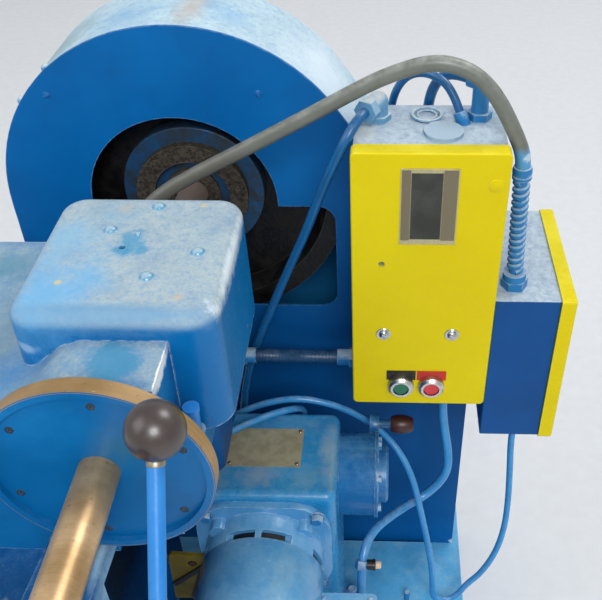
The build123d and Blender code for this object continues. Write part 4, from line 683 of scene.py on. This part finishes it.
class Shape:
    """A mesh in the making. Each method that adds to it gives it back, for the next one."""

    def __init__(self) -> None:
        """Start with nothing."""
        self.mesh = bmesh.new()

    def skin(self, rings: Sequence[Sequence[Vector]], closed: bool) -> None:
        """Add the faces between rings of corners.

        Args:
            rings: the rings in order.
            closed: joins the last ring to the first, and otherwise both get a cap.
        """
        rings = [[self.mesh.verts.new(corner) for corner in ring] for ring in rings]
        for low, high in zip(rings, [*rings[1:], rings[0]] if closed else rings[1:]):
            for i, corner in enumerate(low):
                after = (i + 1) % len(low)
                self.mesh.faces.new((corner, low[after], high[after], high[i]))
        if not closed:
            self.mesh.faces.new(list(reversed(rings[0])))
            self.mesh.faces.new(rings[-1])

    def lathe(self, profile: Sequence[Pair], places: Sequence[Matrix], count: int,
              closed: bool = False) -> "Shape":
        """Turn a profile about the local Z axis, at each of some places.

        Args:
            profile: pairs of radius and height, from the foot up.
            places: where the foot goes.
            count: corners round a ring, 6 for a hexagon.
            closed: joins the last ring to the first, as a washer needs.

        Returns:
            This shape.
        """
        for place in places:
            self.skin([[place @ Vector((*polar(radius, 360 * i / count), height))
                        for i in range(count)] for radius, height in profile], closed)
        return self

    def block(self, size: Point, places: Sequence[Matrix], soft: float = 0) -> "Shape":
        """Add blocks.

        Args:
            size: the length, width and height.
            places: the middle of each one's foot.
            soft: the width of the softened edges, or 0.

        Returns:
            This shape.
        """
        for place in places:
            made = bmesh.ops.create_cube(self.mesh, size=1)["verts"]
            lift = Matrix.Translation((0, 0, size[2] / 2)) @ Matrix.Diagonal((*size, 1))
            bmesh.ops.transform(self.mesh, matrix=place @ lift, verts=made)
            if soft:
                edges = {edge for corner in made for edge in corner.link_edges}
                bmesh.ops.bevel(self.mesh, geom=list(edges), offset=soft, segments=2,
                                affect="EDGES")
        return self

    def tube(self, path: Sequence[Vector], radius: float, count: int) -> "Shape":
        """Sweep a round section.

        Args:
            path: the points that it follows.
            radius: the section's radius.
            count: the section's corners.

        Returns:
            This shape.
        """
        rings = []
        side = Vector(UP)
        for i, here in enumerate(path):
            ahead = (path[min(i + 1, len(path) - 1)] - path[max(i - 1, 0)]).normalized()
            side = (side - ahead * side.dot(ahead)).normalized()
            across = ahead.cross(side)
            spokes = [polar(1, 360 * k / count) for k in range(count)]
            rings.append([here + (side * c + across * s) * radius for c, s in spokes])
        self.skin(rings, False)
        return self

    def screw(self, radius: float, height: float, places: Sequence[Matrix],
              slotted: bool = True) -> "Shape":
        """Add round-headed screws or rivets.

        Args:
            radius: the head's radius.
            height: the head's height.
            places: their feet.
            slotted: whether they show a slot.

        Returns:
            This shape.
        """
        rise = [polar(1, degrees) for degrees in (15, 30, 45, 60, 75, 86)]
        dome = [(radius * c, height * (0.15 + 0.85 * s)) for c, s in rise]
        for place in places:
            self.lathe(((radius, 0), (radius, 0.15 * height), *dome), [place], 20)
            if slotted:
                top = place @ Matrix.Translation((0, 0, height))
                self.block((1.7 * radius, 0.26 * radius, 0.3), [top])
        return self

    def bolt(self, size: Point, places: Sequence[Matrix]) -> "Shape":
        """Add hexagon heads on washers.

        Args:
            size: the head's width across its corners and height, and the washer's thickness or 0.
            places: their feet.

        Returns:
            This shape.
        """
        across, height, washer = size
        for place in places:
            if washer:
                self.lathe(((across * 0.62, 0), (across * 0.62, washer)), [place], 20)
            self.lathe(((across / 2, 0), (across / 2, height * 0.82), (across * 0.42, height)),
                       [place @ Matrix.Translation((0, 0, washer))], 6)
        return self

    def finish(self, name: str, finish: str, slot: str = "sky_paint", body: Body = Body.MACHINE,
               smooth: float = 35) -> Object:
        """Turn the mesh into a piece that rides a body.

        Args:
            name: the piece's name.
            finish: its finish.
            slot: not used.
            body: the body that carries it.
            smooth: edges sharper than this many degrees stay sharp.

        Returns:
            The piece.
        """
        bmesh.ops.scale(self.mesh, vec=(MM, MM, MM), verts=self.mesh.verts)
        bmesh.ops.recalc_face_normals(self.mesh, faces=self.mesh.faces)
        data = bpy.data.meshes.new(name)
        self.mesh.to_mesh(data)
        self.mesh.free()
        data.shade_smooth()
        data.set_sharp_from_angle(angle=math.radians(smooth))
        data.materials.append(material(finish))
        piece = show(name, data)
        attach(piece, body.value)
        log.info("%s: %d faces on %s", name, len(data.polygons), body.value)
        return piece


def dress(node: str, finish: str, bevel: float = 0) -> None:
    """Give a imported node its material, and soften its edges.

    Args:
        node: the node's name.
        finish: its finish.
        bevel: the width of the softened edges, or 0.
    """
    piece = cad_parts[node]
    piece.data.materials.clear()
    piece.data.materials.append(material(finish))
    if bevel:
        weld = piece.modifiers.new("weld", "WELD")
        weld.merge_threshold = WELD * MM
        soft = piece.modifiers.new("soft_edges", "BEVEL")
        soft.width = bevel * MM
        soft.segments = 2
        soft.limit_method = "ANGLE"
        soft.angle_limit = math.radians(SHARP_DEGREES)
        soft.harden_normals = True
    log.info("%s: %s", node, finish)


@dataclass
class Assembly:
    """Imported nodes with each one's finish and edge width, and the small pieces added to them."""

    nodes: tuple[tuple, ...] = ()

    def build(self) -> None:
        """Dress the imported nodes, then add the small pieces."""
        for node in self.nodes:
            dress(*node)
        self.add()

    def add(self) -> None:
        """Add the small pieces, in each sub-assembly that has some."""


@dataclass
class BedCorner(Assembly):
    """The bed, its leg, the base frame and the two bearing brackets."""

    nodes: tuple = (
        ("base_plate", "base", 1), ("base_rails", "guard", 1), ("base_crossbars", "guard", 1),
        ("bed_leg", "bed", 2.5), ("bed_casting", "bed", 2), ("corner_bracket", "sky", 2.2),
        ("oil_plug", "rod", 0.8), ("front_bracket", "bed", 2), ("cable_glands", "fitting", 0.5))
    bolt: Point = (17, 8, 2)
    bolts: tuple = ((-20, -366, 169, -20), (120, -366, 169, 120), (240, -366, 169, 240),
                    (330, -366, 169, 330))
    stud: Point = (303.8, -125.1, 169)
    stud_form: tuple = ((4.5, 0), (4.5, 22), (3.8, 23))

    def add(self) -> None:
        """Bolt the base plate's pad down."""
        bolts = Shape().bolt(self.bolt, stand(UP, *self.bolts))
        bolts.lathe(self.stud_form, stand(UP, self.stud), 16).finish("base_bolts", "fitting")


@dataclass
class GearCover(Assembly):
    """The cast gear cover."""

    nodes: tuple = (("gear_cover", "cover"),)
    domes: tuple = ((13, -176, 999.6), (-28.2, -220.3, 999.6), (69.4, -257.9, 999.6),
                    (27.1, -299.1, 999.6))
    dome_form: tuple = ((8.4, 0), (7.2, 0.7), (6.3, 2), (5, 3.3), (3.2, 4.2), (1.2, 4.6))
    nub: Point = (2, -227.3, 999.8)
    nub_form: tuple = ((3.4, 0), (2.9, 1), (1.8, 1.8), (0.6, 2))
    hole: Point = (-8, -252, 1000)
    lip_form: tuple = ((5.5, 0), (5.5, 0.5), (4.2, 0.9), (3.5, 0.5), (3.5, 0))

    def add(self) -> None:
        """Add the painted screw heads, the nub and the lip of the hole."""
        heads = Shape().lathe(self.dome_form, stand(UP, *self.domes), 28)
        heads.lathe(self.nub_form, stand(UP, self.nub), 16).finish("cover_screw_heads", "dome")
        lip = Shape().lathe(self.lip_form, stand(UP, self.hole), 20, closed=True)
        lip.finish("cover_hole_lip", "cover")


@dataclass
class ShaftAndDisc(Assembly):
    """The main shaft with its disc, hub and flywheel."""

    nodes: tuple = (("drive_shaft", "shaft"), ("front_disc", "disc"), ("flywheel", "greasy"),
                    ("clutch_hub", "hub"), ("hub_ring", "rusty"))
    height: float = 893
    disc_front: float = -454
    rim_form: tuple = ((104.6, 0.15), (106.2, -0.4), (106.2, -17.6), (104.6, -18.15), (104, -9))
    recess: float = 6
    screws: tuple = ((9, 976), (-69, 945), (80, 923), (70, 839), (-8, 807), (-81, 859))
    screw_form: tuple = ((4.6, 0), (4.6, 0.3), (4, 0.6), (2.6, 0.6), (2.4, 0.1))
    ring_front: float = 18
    studs: int = 6
    stud_circle: float = 62
    stud_start: float = 12
    stud_turn: float = 20
    stud: Point = (13, 5, 1.5)

    def add(self) -> None:
        """Add the disc's bright rim and screws, and the ring's bolts."""
        rim = Shape().lathe(self.rim_form, stand(FRONT, (0, self.disc_front, self.height)), 96,
                            closed=True)
        rim.finish("disc_rim", "rim", "polished_steel", Body.SHAFT)
        places = stand(FRONT, *[(x, self.disc_front + self.recess, z, x) for x, z in self.screws])
        screws = Shape().lathe(self.screw_form, places, 6)
        screws.finish("disc_screws", "disc_screw", body=Body.SHAFT)
        studs = Shape()
        for i in range(self.studs):
            x, z = polar(self.stud_circle, 360 / self.studs * i + self.stud_start)
            spot = (x, self.ring_front, self.height + z, self.stud_turn * i)
            studs.bolt(self.stud, stand(FRONT, spot))
        studs.finish("ring_bolts", "rusty", "rusty_iron", Body.SHAFT)


@dataclass
class ClutchLever(Assembly):
    """The hand lever with its ball and bright collar."""

    nodes: tuple = (("lever_pin", "shaft", 0.6), ("lever_arm", "rod", 0.6),
                    ("lever_knob", "ball"))
    pivot: Point = (95, -706, 790)
    lean: float = 33.2
    collar_at: float = 282.55
    collar_form: tuple = ((6.6, 0), (7, 0.4), (7, 3.4), (6.6, 4.2))

    def add(self) -> None:
        """Add the collar under the ball."""
        up, back = polar(1, self.lean)
        along = Vector((0, back, up))
        place = stand(along, tuple(Vector(self.pivot) + along * self.collar_at))
        collar = Shape().lathe(self.collar_form, place, 24)
        collar.finish("lever_collar", "collar", "polished_steel", Body.LEVER)


@dataclass
class WheelGuard(Assembly):
    """The sheet guard round the flywheel and belt."""

    nodes: tuple = (("guard_front", "guard"), ("guard_wrapper", "hood"), ("belt", "rubber"),
                    ("drive_pulley", "greasy"))
    screws: tuple = ((-155, 0, 1045.4, -155), (102.6, 0, 1048.4, 102.6))
    screw: Pair = (4.2, 2.4)
    centre_z: float = 893
    radius: float = 238
    rim_angles: tuple = (129.5, 143.5)
    rim_screw: Pair = (5.5, 4)
    rim_setback: float = 8

    def add(self) -> None:
        """Add the screws on the front and on the hood's rim."""
        heads = Shape().screw(*self.screw, stand(FRONT, *self.screws))
        heads.finish("guard_screws", "guard", "guard_blue")
        rims = Shape()
        for degrees in self.rim_angles:
            x, z = polar(1, degrees)
            spot = (self.radius * x, self.rim_setback, self.centre_z + self.radius * z, degrees)
            rims.screw(*self.rim_screw, stand((x, 0, z), spot))
        rims.finish("hood_rim_screws", "chalky", "pale_blue")


@dataclass
class DriveUnit(Assembly):
    """The speed reducer and its flanged motor."""

    nodes: tuple = (
        ("reducer_case", "unit"), ("reducer_plate", "brass"), ("end_bell", "bell", 1.2),
        ("end_cap", "bell"), ("speed_knob", "knob", 1.5), ("motor_flange", "motor", 1.5),
        ("motor_drum", "motor", 1), ("motor_cowl", "motor"), ("terminal_box", "motor", 1),
        ("yellow_bracket", "bracket_yellow", 0.6))
    rivets: tuple = tuple(product((51.5, 142.5), (-196, -138), (606,)))
    rivet: Pair = (2.6, 1.6)
    bell: Point = (252, -152, 536)
    bell_bolts: int = 6
    bell_circle: float = 50
    bell_start: float = 20
    bell_turn: float = 15
    bell_bolt: Point = (11, 4.5, 0)
    flange_bolt: Point = (17, 8, 1.6)
    flange: tuple = ((27, -260, 431, -20), (27, -260, 577, -20), (173, -260, 431, 20),
                     (173, -260, 577, 20))
    foot_bolt: Point = (17, 9, 2)
    feet: tuple = ((-10, -222, 189, -222), (-10, -126, 189, -126), (210, -222, 189, -222),
                   (210, -126, 189, -126))
    terminals: tuple = tuple(product((184, 244), (-406, -338), (514,)))
    terminal_screw: Pair = (3.5, 2.2)
    vents: Point = (100, -286, 504)
    vent_shade_form: tuple = ((60, 0.3), (74.5, 0.3), (74.5, 11.7), (60, 11.7))
    bracket_front: float = -266
    bracket_bolt: Point = (11, 6, 0)
    bracket_bolt_at: tuple = (-4, -261, 474, 10)
    straps: tuple = (((-36, 424), (10, 468)), ((-10, 394), (6, 450)))
    strap_section: Pair = (9, 2.4)
    strap_soft: float = 0.8
    cowl: Point = (100, -549, 504)
    cowl_rings: tuple = (16, 30, 44, 58)
    cowl_ring: Pair = (3, 1.2)

    def add(self) -> None:
        """Add the rivets, bolts, painted-shade sleeve in the vents, bracket's trim and cowl's
        rings.
        """
        rivets = Shape().screw(*self.rivet, stand(UP, *self.rivets), slotted=False)
        rivets.finish("plate_rivets", "zinc", "brass_plate")
        bolts = Shape()
        x, y, z = self.bell
        for i in range(self.bell_bolts):
            back, up = polar(self.bell_circle, 360 / self.bell_bolts * i + self.bell_start)
            spot = (x, y + back, z + up, self.bell_turn * i)
            bolts.bolt(self.bell_bolt, stand((1, 0, 0), spot))
        bolts.bolt(self.flange_bolt, stand(FRONT, *self.flange))
        bolts.bolt(self.foot_bolt, stand(UP, *self.feet))
        bolts.screw(*self.terminal_screw, stand(UP, *self.terminals))
        bolts.finish("unit_bolts", "fitting")
        # A dark sleeve in the vents is painted shade: it darkens the vent floors
        shade_ring = Shape().lathe(self.vent_shade_form, stand(FRONT, self.vents), 72, closed=True)
        shade_ring.finish("vent_shade_sleeve", "black")
        self.trim_bracket()
        rings = Shape()
        half, proud = self.cowl_ring
        for radius in self.cowl_rings:
            low, high = radius - half, radius + half
            rings.lathe(((low, 0), (low, proud), (high, proud), (high, 0)),
                        stand(FRONT, self.cowl), 48, closed=True)
        rings.finish("cowl_rings", "greasy")

    def trim_bracket(self) -> None:
        """Put the bolt and the dark straps on the yellow bracket."""
        bolt = Shape().bolt(self.bracket_bolt, stand(FRONT, self.bracket_bolt_at))
        bolt.finish("bracket_bolt", "oxide", "rusty_iron")
        strap = Shape()
        for low, high in self.straps:
            run = Vector((high[0] - low[0], 0, high[1] - low[1]))
            middle = ((low[0] + high[0]) / 2, self.bracket_front, (low[1] + high[1]) / 2)
            lean = Matrix.Rotation(-math.atan2(run.z, run.x), 4, "Y")
            place = Matrix.Translation(middle) @ lean @ Matrix.Rotation(math.pi / 2, 4, "X")
            strap.block((run.length, *self.strap_section), [place], self.strap_soft)
        strap.finish("bracket_straps", "black", "belt_rubber")


@dataclass
class StarterBox(Assembly):
    """The yellow-fronted starter box with its window and buttons.

    The window has a thin bright edge, two dull side bars and a dark bare pane. Each of them is
    given with its finish, its depth, its softened edges, and the lower left corner and size of its
    plates.
    """

    nodes: tuple = (
        ("starter_box", "box"), ("starter_cover", "yellow"), ("button_rings", "bezel"),
        ("legend_plates", "legends"), ("start_button", "green"), ("stop_button", "red"),
        ("left_connector", "chalky", 0.5), ("right_elbow", "fitting", 0.5))
    front: float = -122.6
    cover_screws: tuple = ((256.4, 776.5, 25), (343.4, 776.7, 25))
    washer_form: tuple = ((9.5, 0), (9.5, 1), (9, 1.4))
    screw: Pair = (6.2, 4.5)
    screw_lift: float = 1.2
    window: tuple = (
        ("window_edge", "frame_metal", 1, 0.3, ((272.5, 917, 65.5, 101.5),)),
        ("window_bars", "bar_metal", 1.35, 0.3, ((273.9, 923, 10.2, 93.5),
                                                 (320.4, 923, 16.2, 93.5))),
        ("window_pane", "panel", 1.25, 0.2, ((284.5, 924.5, 35.5, 88.5),)))
    boss: Point = (378.9, -122.6, 996.9)
    boss_form: tuple = ((8.5, 0), (8, 1.2), (5.5, 2.2), (0.8, 2.5))
    knockout: Point = (303.5, -30.4, 1037)
    knockout_rims: tuple = ((14.8, 19, 2.2), (9.6, 12.4, 1.2))
    buttons_x: Pair = (280.6, 321)
    buttons_z: float = 688
    knurls: int = 36
    knurl_circle: float = 16.6
    knurl: Point = (1.2, 1.5, 7.5)
    knurl_proud: float = 0.5

    def add(self) -> None:
        """Add the screws, the window, the boss, the knock-out's rims and the rings' knurls."""
        screws = Shape()
        for x, z, turn in self.cover_screws:
            place, = stand(FRONT, (x, self.front, z, turn))
            screws.lathe(self.washer_form, [place], 24)
            screws.screw(*self.screw, [place @ Matrix.Translation((0, 0, self.screw_lift))])
        screws.finish("cover_screws", "nickel", "chrome")
        for name, finish, depth, soft, boxes in self.window:
            plates = Shape()
            for x, z, across, tall in boxes:
                middle = (x + across / 2, self.front, z + tall / 2)
                plates.block((across, tall, depth), stand(FRONT, middle), soft)
            piece = plates.finish(name, finish, "window_metal")
            if name == "window_edge":
                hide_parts("window_plate")
        boss = Shape().lathe(self.boss_form, stand(FRONT, self.boss), 28)
        boss.finish("cover_boss", "yellow", "yellow_paint")
        rims = Shape()
        for inner, outer, rise in self.knockout_rims:
            form = ((inner, -0.2), (inner + 0.5, rise * 0.7), ((inner + outer) / 2, rise),
                    (outer - 0.5, rise * 0.6), (outer, -0.2))
            rims.lathe(form, stand(UP, self.knockout), 40, closed=True)
        rims.finish("knockout_rims", "chalky", "pale_blue")
        knurls = Shape()
        for x, i in product(self.buttons_x, range(self.knurls)):
            turn = 360 * i / self.knurls
            over, up = polar(self.knurl_circle, turn)
            spot = (x + over, self.front - self.knurl_proud, self.buttons_z + up, turn)
            knurls.block(self.knurl, stand(FRONT, spot))
        knurls.finish("ring_knurls", "bezel", "chrome")


@dataclass
class SideBox(Assembly):
    """The box beside the starter, with the spring that carries the grey cable."""

    nodes: tuple = (("side_box", "box"), ("side_lid", "yellow"), ("relief_nut", "fitting", 0.5))
    nut: Point = (420, -87, 830)
    lean: float = -0.048
    start: float = 22
    length: float = 134
    wire: float = 3.3
    pitch: float = 9.6
    outer: float = 10.5
    steps_a_turn: int = 20
    core: float = 7.2
    bush_form: tuple = ((11.2, 0.2), (11.5, 1.5), (11.5, 4.5), (10.2, 5.5), (10.2, 7), (11.5, 8),
                        (11.5, 12), (10.6, 15.6), (9.2, 16))

    def add(self) -> None:
        """Wind the strain relief's spring round its core, with the bush on top."""
        place, = stand(Vector((self.lean, 0, 1)).normalized(), self.nut)
        turns = self.length / self.pitch
        steps = int(turns * self.steps_a_turn)
        path = []
        for share in (i / steps for i in range(steps + 1)):
            height = self.start + self.wire + (self.length - 2 * self.wire) * share
            spot = (*polar(self.outer - self.wire, 360 * turns * share), height)
            path.append(place @ Vector(spot))
        coil = Shape().tube(path, self.wire, 10)
        spring = coil.finish("relief_coil", "fitting", "polished_steel", smooth=60)
        top = self.start + self.length
        form = ((self.core, self.start - 2), (self.core, top),
                *[(radius, top + rise) for radius, rise in self.bush_form])
        Shape().lathe(form, [place], 32).finish("relief_core", "fitting", "polished_steel")
        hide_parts("relief_spring")


@dataclass(frozen=True)
class Route:
    """One cable: its control points, and what it is."""

    name: str
    finish: str
    slot: str
    diameter: float
    length: float
    points: tuple[Point, ...]
    stiffness: str = "medium"


ROUTES = (
    Route("grey_cable", "grey", "grey_jacket", 17.8, 741, (
        (411.75, -87, 1001.8), (411.08, -87, 1015.79), (399, -86, 1043), (375, -82, 1086),
        (347, -77, 1112), (306, -75, 1122), (257, -73, 1105), (219, -73, 1085), (183, -73, 1064),
        (132, -74, 1036), (82, -76, 1009), (30, -78, 982), (-16, -82, 955), (-46, -86, 921),
        (-63, -90, 876), (-72, -92, 828), (-72, -92, 764),
    ), "stiff"),
    Route("blue_cable", "blue", "guard_blue", 12, 925, (
        (231.69, -64.62, 1056), (224.53, -78.93, 1056), (211, -98, 1040), (199, -94, 1012),
        (181, -84, 966), (160, -73, 902), (128, -57, 821), (101, -46, 749), (75, -40, 682),
        (56, -40, 622), (43, -46, 540), (37, -53, 420), (36, -56, 300), (36, -56, 191),
    )),
    Route("corrugated_conduit", "navy", "guard_blue", 19, 120, (
        (191.2, -40, 658), (162, -40, 658), (127, -46, 664), (104, -58, 676), (77, -58, 676),
    )),
    Route("long_cable", "pale", "sky_paint", 10, 1187, (
        (449, -80, 565), (449, -80, 530), (454, -81, 470), (459, -84, 395), (459, -90, 330),
        (449, -99, 274), (427, -111, 232), (403, -119, 210), (391, -125, 190), (373, -130, 179),
        (352, -134, 187), (345, -136, 209), (344, -136, 246), (340, -136, 290), (330, -136, 357),
        (317, -136, 430), (304, -122, 488), (287, -104, 520), (264, -87, 543), (238, -82, 567),
        (206, -86, 597), (172, -86, 612), (138, -86, 619), (106, -86, 614), (71, -86, 601),
        (33, -87, 578), (-2, -92, 556), (-27, -98, 545), (-57, -98, 545),
    )),
    Route("second_cable", "pale", "sky_paint", 10, 666, (
        (128, -52, 189), (128, -52, 290), (130, -54, 400), (135, -57, 500), (140, -62, 552),
        (141, -74, 586), (124, -105, 616), (94, -119, 617), (67, -135, 616), (41, -153, 616),
        (8, -170, 618), (-13, -172, 594), (-28, -171, 564), (-57, -171, 564),
    )),
    Route("motor_conduit", "pale", "sky_paint", 13, 639, (
        (345, -60, 623), (345, -60, 582), (350, -66, 540), (357, -78, 506), (358, -93, 478),
        (347, -96, 450), (324, -102, 424), (295, -122, 424), (268, -158, 442), (246, -192, 458),
        (233, -219, 452), (230, -243, 424), (229, -264, 388), (226, -292, 352), (220, -325, 336),
        (215, -355, 346), (214, -372, 378), (214, -372, 422),
    )),
    Route("fat_jumper", "blue", "guard_blue", 13, 211, (
        (350.71, -23.19, 1079.28), (332.43, -11.08, 1081.04), (317, 3, 1067), (308, 11, 1042),
        (306, 15, 1008), (307, 20, 968), (308, 24, 936), (308, 24, 905),
    )),
    Route("thin_jumper", "blue", "guard_blue", 10, 203, (
        (340.11, -40.81, 1046.43), (334.52, -36.02, 1060.64), (322, -26, 1077), (300, -10, 1081),
        (280, 5, 1070), (267, 15, 1047), (261, 22, 1016), (262, 26, 990), (262, 26, 965),
    )),
)


@dataclass
class Cables(Assembly):
    """All the cables and conduits, each a smooth curve between its fittings."""

    routes: tuple[Route, ...] = ROUTES
    union: tuple = (230.8, -235, 434.5, 0.3)
    union_axis: Point = (3, 24, 28)
    union_form: tuple = ((6.2, -6.5), (9.6, -6.5), (10.6, -5), (10.6, 5), (9.6, 6.5), (6.2, 6.5))
    plug: Point = (236.8, -235, 435.5)
    plug_form: tuple = ((7.4, 0), (7.4, 9), (8.2, 9), (8.2, 12.5), (6, 13.2))
    tip_form: tuple = ((5.6, 13), (5.6, 19), (5, 20.5), (3, 21))
    rib_pitch: float = 4.2
    rib_form: tuple = ((-0.2, -1.1), (0.55, -0.6), (0.55, 0.6), (-0.2, 1.1))

    def add(self) -> None:
        """Lay every cable, with the pieces that sit on it."""
        for route in self.routes:
            cable = self.lay(route)
            pieces = []
            if route.name == "corrugated_conduit":
                pieces = [self.ribs(cable, route)]
            if route.name == "motor_conduit":
                pieces = self.coupling()

    def coupling(self) -> list[Object]:
        """Build the motor conduit's union nut and its side plug.

        Returns:
            Their pieces.
        """
        nut = Shape().lathe(self.union_form, stand(self.union_axis, self.union), 6, closed=True)
        foot = stand((1, 0, 0), self.plug)
        plug, tip = (Shape().lathe(form, foot, 24) for form in (self.plug_form, self.tip_form))
        return [nut.finish("motor_union_nut", "fitting"),
                plug.finish("motor_union_plug", "black", "belt_rubber"),
                tip.finish("motor_union_tip", "tan", "dark_knob")]

    def lay(self, route: Route) -> Object:
        """Make one cable as a round curve.

        Args:
            route: the cable.

        Returns:
            The cable's object.
        """
        curve = bpy.data.curves.new(f"{route.name}_line", "CURVE")
        curve.dimensions = "3D"
        spline = curve.splines.new("NURBS")
        spline.points.add(len(route.points) - 1)
        for spot, point in zip(spline.points, route.points):
            spot.co = (*[c * MM for c in point], 1)
        spline.order_u = 3
        spline.use_endpoint_u = True
        spline.resolution_u = 10
        curve.bevel_depth = route.diameter / 2 * MM
        curve.bevel_resolution = 6
        curve.use_fill_caps = True
        curve.materials.append(material(route.finish))
        cable = show(curve.name, curve)
        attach(cable, Body.MACHINE.value)
        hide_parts(route.name)
        log.info("%s: %d points", route.name, len(route.points))
        return cable

    def ribs(self, cable: Object, route: Route) -> Object:
        """Put fine rings along the corrugated conduit.

        Args:
            cable: the conduit's curve.
            route: its data.

        Returns:
            The rings as one piece.
        """
        curve = cable.data.copy()
        curve.bevel_depth = 0
        bare = show("bare_line", curve)
        bpy.context.view_layer.update()
        line = [v.co / MM for v in bpy.data.meshes.new_from_object(bare).vertices]
        bpy.data.objects.remove(bare)
        form = [(route.diameter / 2 + proud, height) for proud, height in self.rib_form]
        rings = Shape()
        gone = 0
        for here, after in zip(line, line[1:]):
            step = (after - here).length
            while gone < step:
                place = stand(after - here, tuple(here.lerp(after, gone / step)))
                rings.lathe(form, place, 24, closed=True)
                gone += self.rib_pitch
            gone -= step
        return rings.finish("conduit_ribs", route.finish, route.slot, smooth=50)


@dataclass
class Studio:
    """The camera, the lamps, the floor and the backdrop. Lamps and stage are in metres."""

    camera_at: Point = (252, -935, 1490)
    right: Point = (0.99926, 0.03615, -0.01288)
    ahead: Point = (-0.0362, 0.7763, -0.6293)
    focal_px: float = 843.8
    centre_px: float = 350
    frame_px: float = 602
    sky: str = "#E6ECF2"
    sky_strength: float = 0.62
    lamps: tuple = (
        ("window_light", (-3.6, -1.6, 4.2), (0, -0.2, 0.7), 3.2, 62),
        ("ceiling_light", (3.1, 2.4, 5.6), (0.1, -0.2, 0.7), 2.6, 125),
        ("front_light", (1, -4.2, 4.5), (0.1, -0.2, 0.7), 2.2, 175))
    stage_half: float = 4.5

    def build(self) -> None:
        """Set up the view, the light and the floor."""
        self.aim()
        self.light()
        self.ground()

    def aim(self) -> None:
        """Place the camera where the photograph was taken."""
        data = bpy.data.cameras.new("photo_camera")
        data.sensor_width = 36
        data.lens = self.focal_px / self.frame_px * data.sensor_width
        data.shift_x = (self.frame_px / 2 - self.centre_px) / self.frame_px
        data.clip_start = 0.02
        back = -Vector(self.ahead).normalized()
        right = Vector(self.right).normalized()
        turn = Matrix((right, back.cross(right).normalized(), back)).transposed().to_4x4()
        place = Matrix.Translation(Vector(self.camera_at) * MM) @ turn
        bpy.context.scene.camera = show("photo_camera", data, place)

    def light(self) -> None:
        """Light the machine softly from the window side, from above and from the front."""
        world = bpy.data.worlds.new("studio")
        world.use_nodes = True
        background = world.node_tree.nodes["Background"]
        background.inputs["Color"].default_value = linear(self.sky)
        background.inputs["Strength"].default_value = self.sky_strength
        bpy.context.scene.world = world
        for name, spot, target, size, watts in self.lamps:
            data = bpy.data.lights.new(name, "AREA")
            data.size = size
            data.energy = watts
            look = (Vector(target) - Vector(spot)).to_track_quat("-Z", "Y").to_matrix().to_4x4()
            show(name, data, Matrix.Translation(spot) @ look)

    def ground(self) -> None:
        """Lay a pale floor and stand a pale backdrop behind it."""
        recipe = Recipe("pale_studio_floor")
        grain = recipe.coat("#D9DADB", "#DEDFE0", recipe.speckle(30, 0.3, 0.7))
        pale = recipe.surface({"Base Color": grain, "Roughness": 0.8})
        half = self.stage_half
        upright = Matrix.Translation((0, half, half)) @ Matrix.Rotation(math.pi / 2, 4, "X")
        for name, place in (("studio_floor", Matrix.Identity(4)), ("studio_backdrop", upright)):
            mesh = bpy.data.meshes.new(name)
            corners = ((-half, -half, 0), (half, -half, 0), (half, half, 0), (-half, half, 0))
            mesh.from_pydata(corners, [], [(0, 1, 2, 3)])
            mesh.materials.append(pale)
            show(name, mesh, place)


def main() -> None:
    """Build every sub-assembly."""
    logging.basicConfig(level=logging.INFO, format="%(name)s: %(message)s")
    for kind in (BedCorner, GearCover, ShaftAndDisc, ClutchLever, WheelGuard, DriveUnit, StarterBox,
                 SideBox, Cables, Studio):
        kind().build()
    bpy.context.scene.view_settings.view_transform = "Standard"
    bpy.context.view_layer.update()


if __name__ == "__main__":
    main()
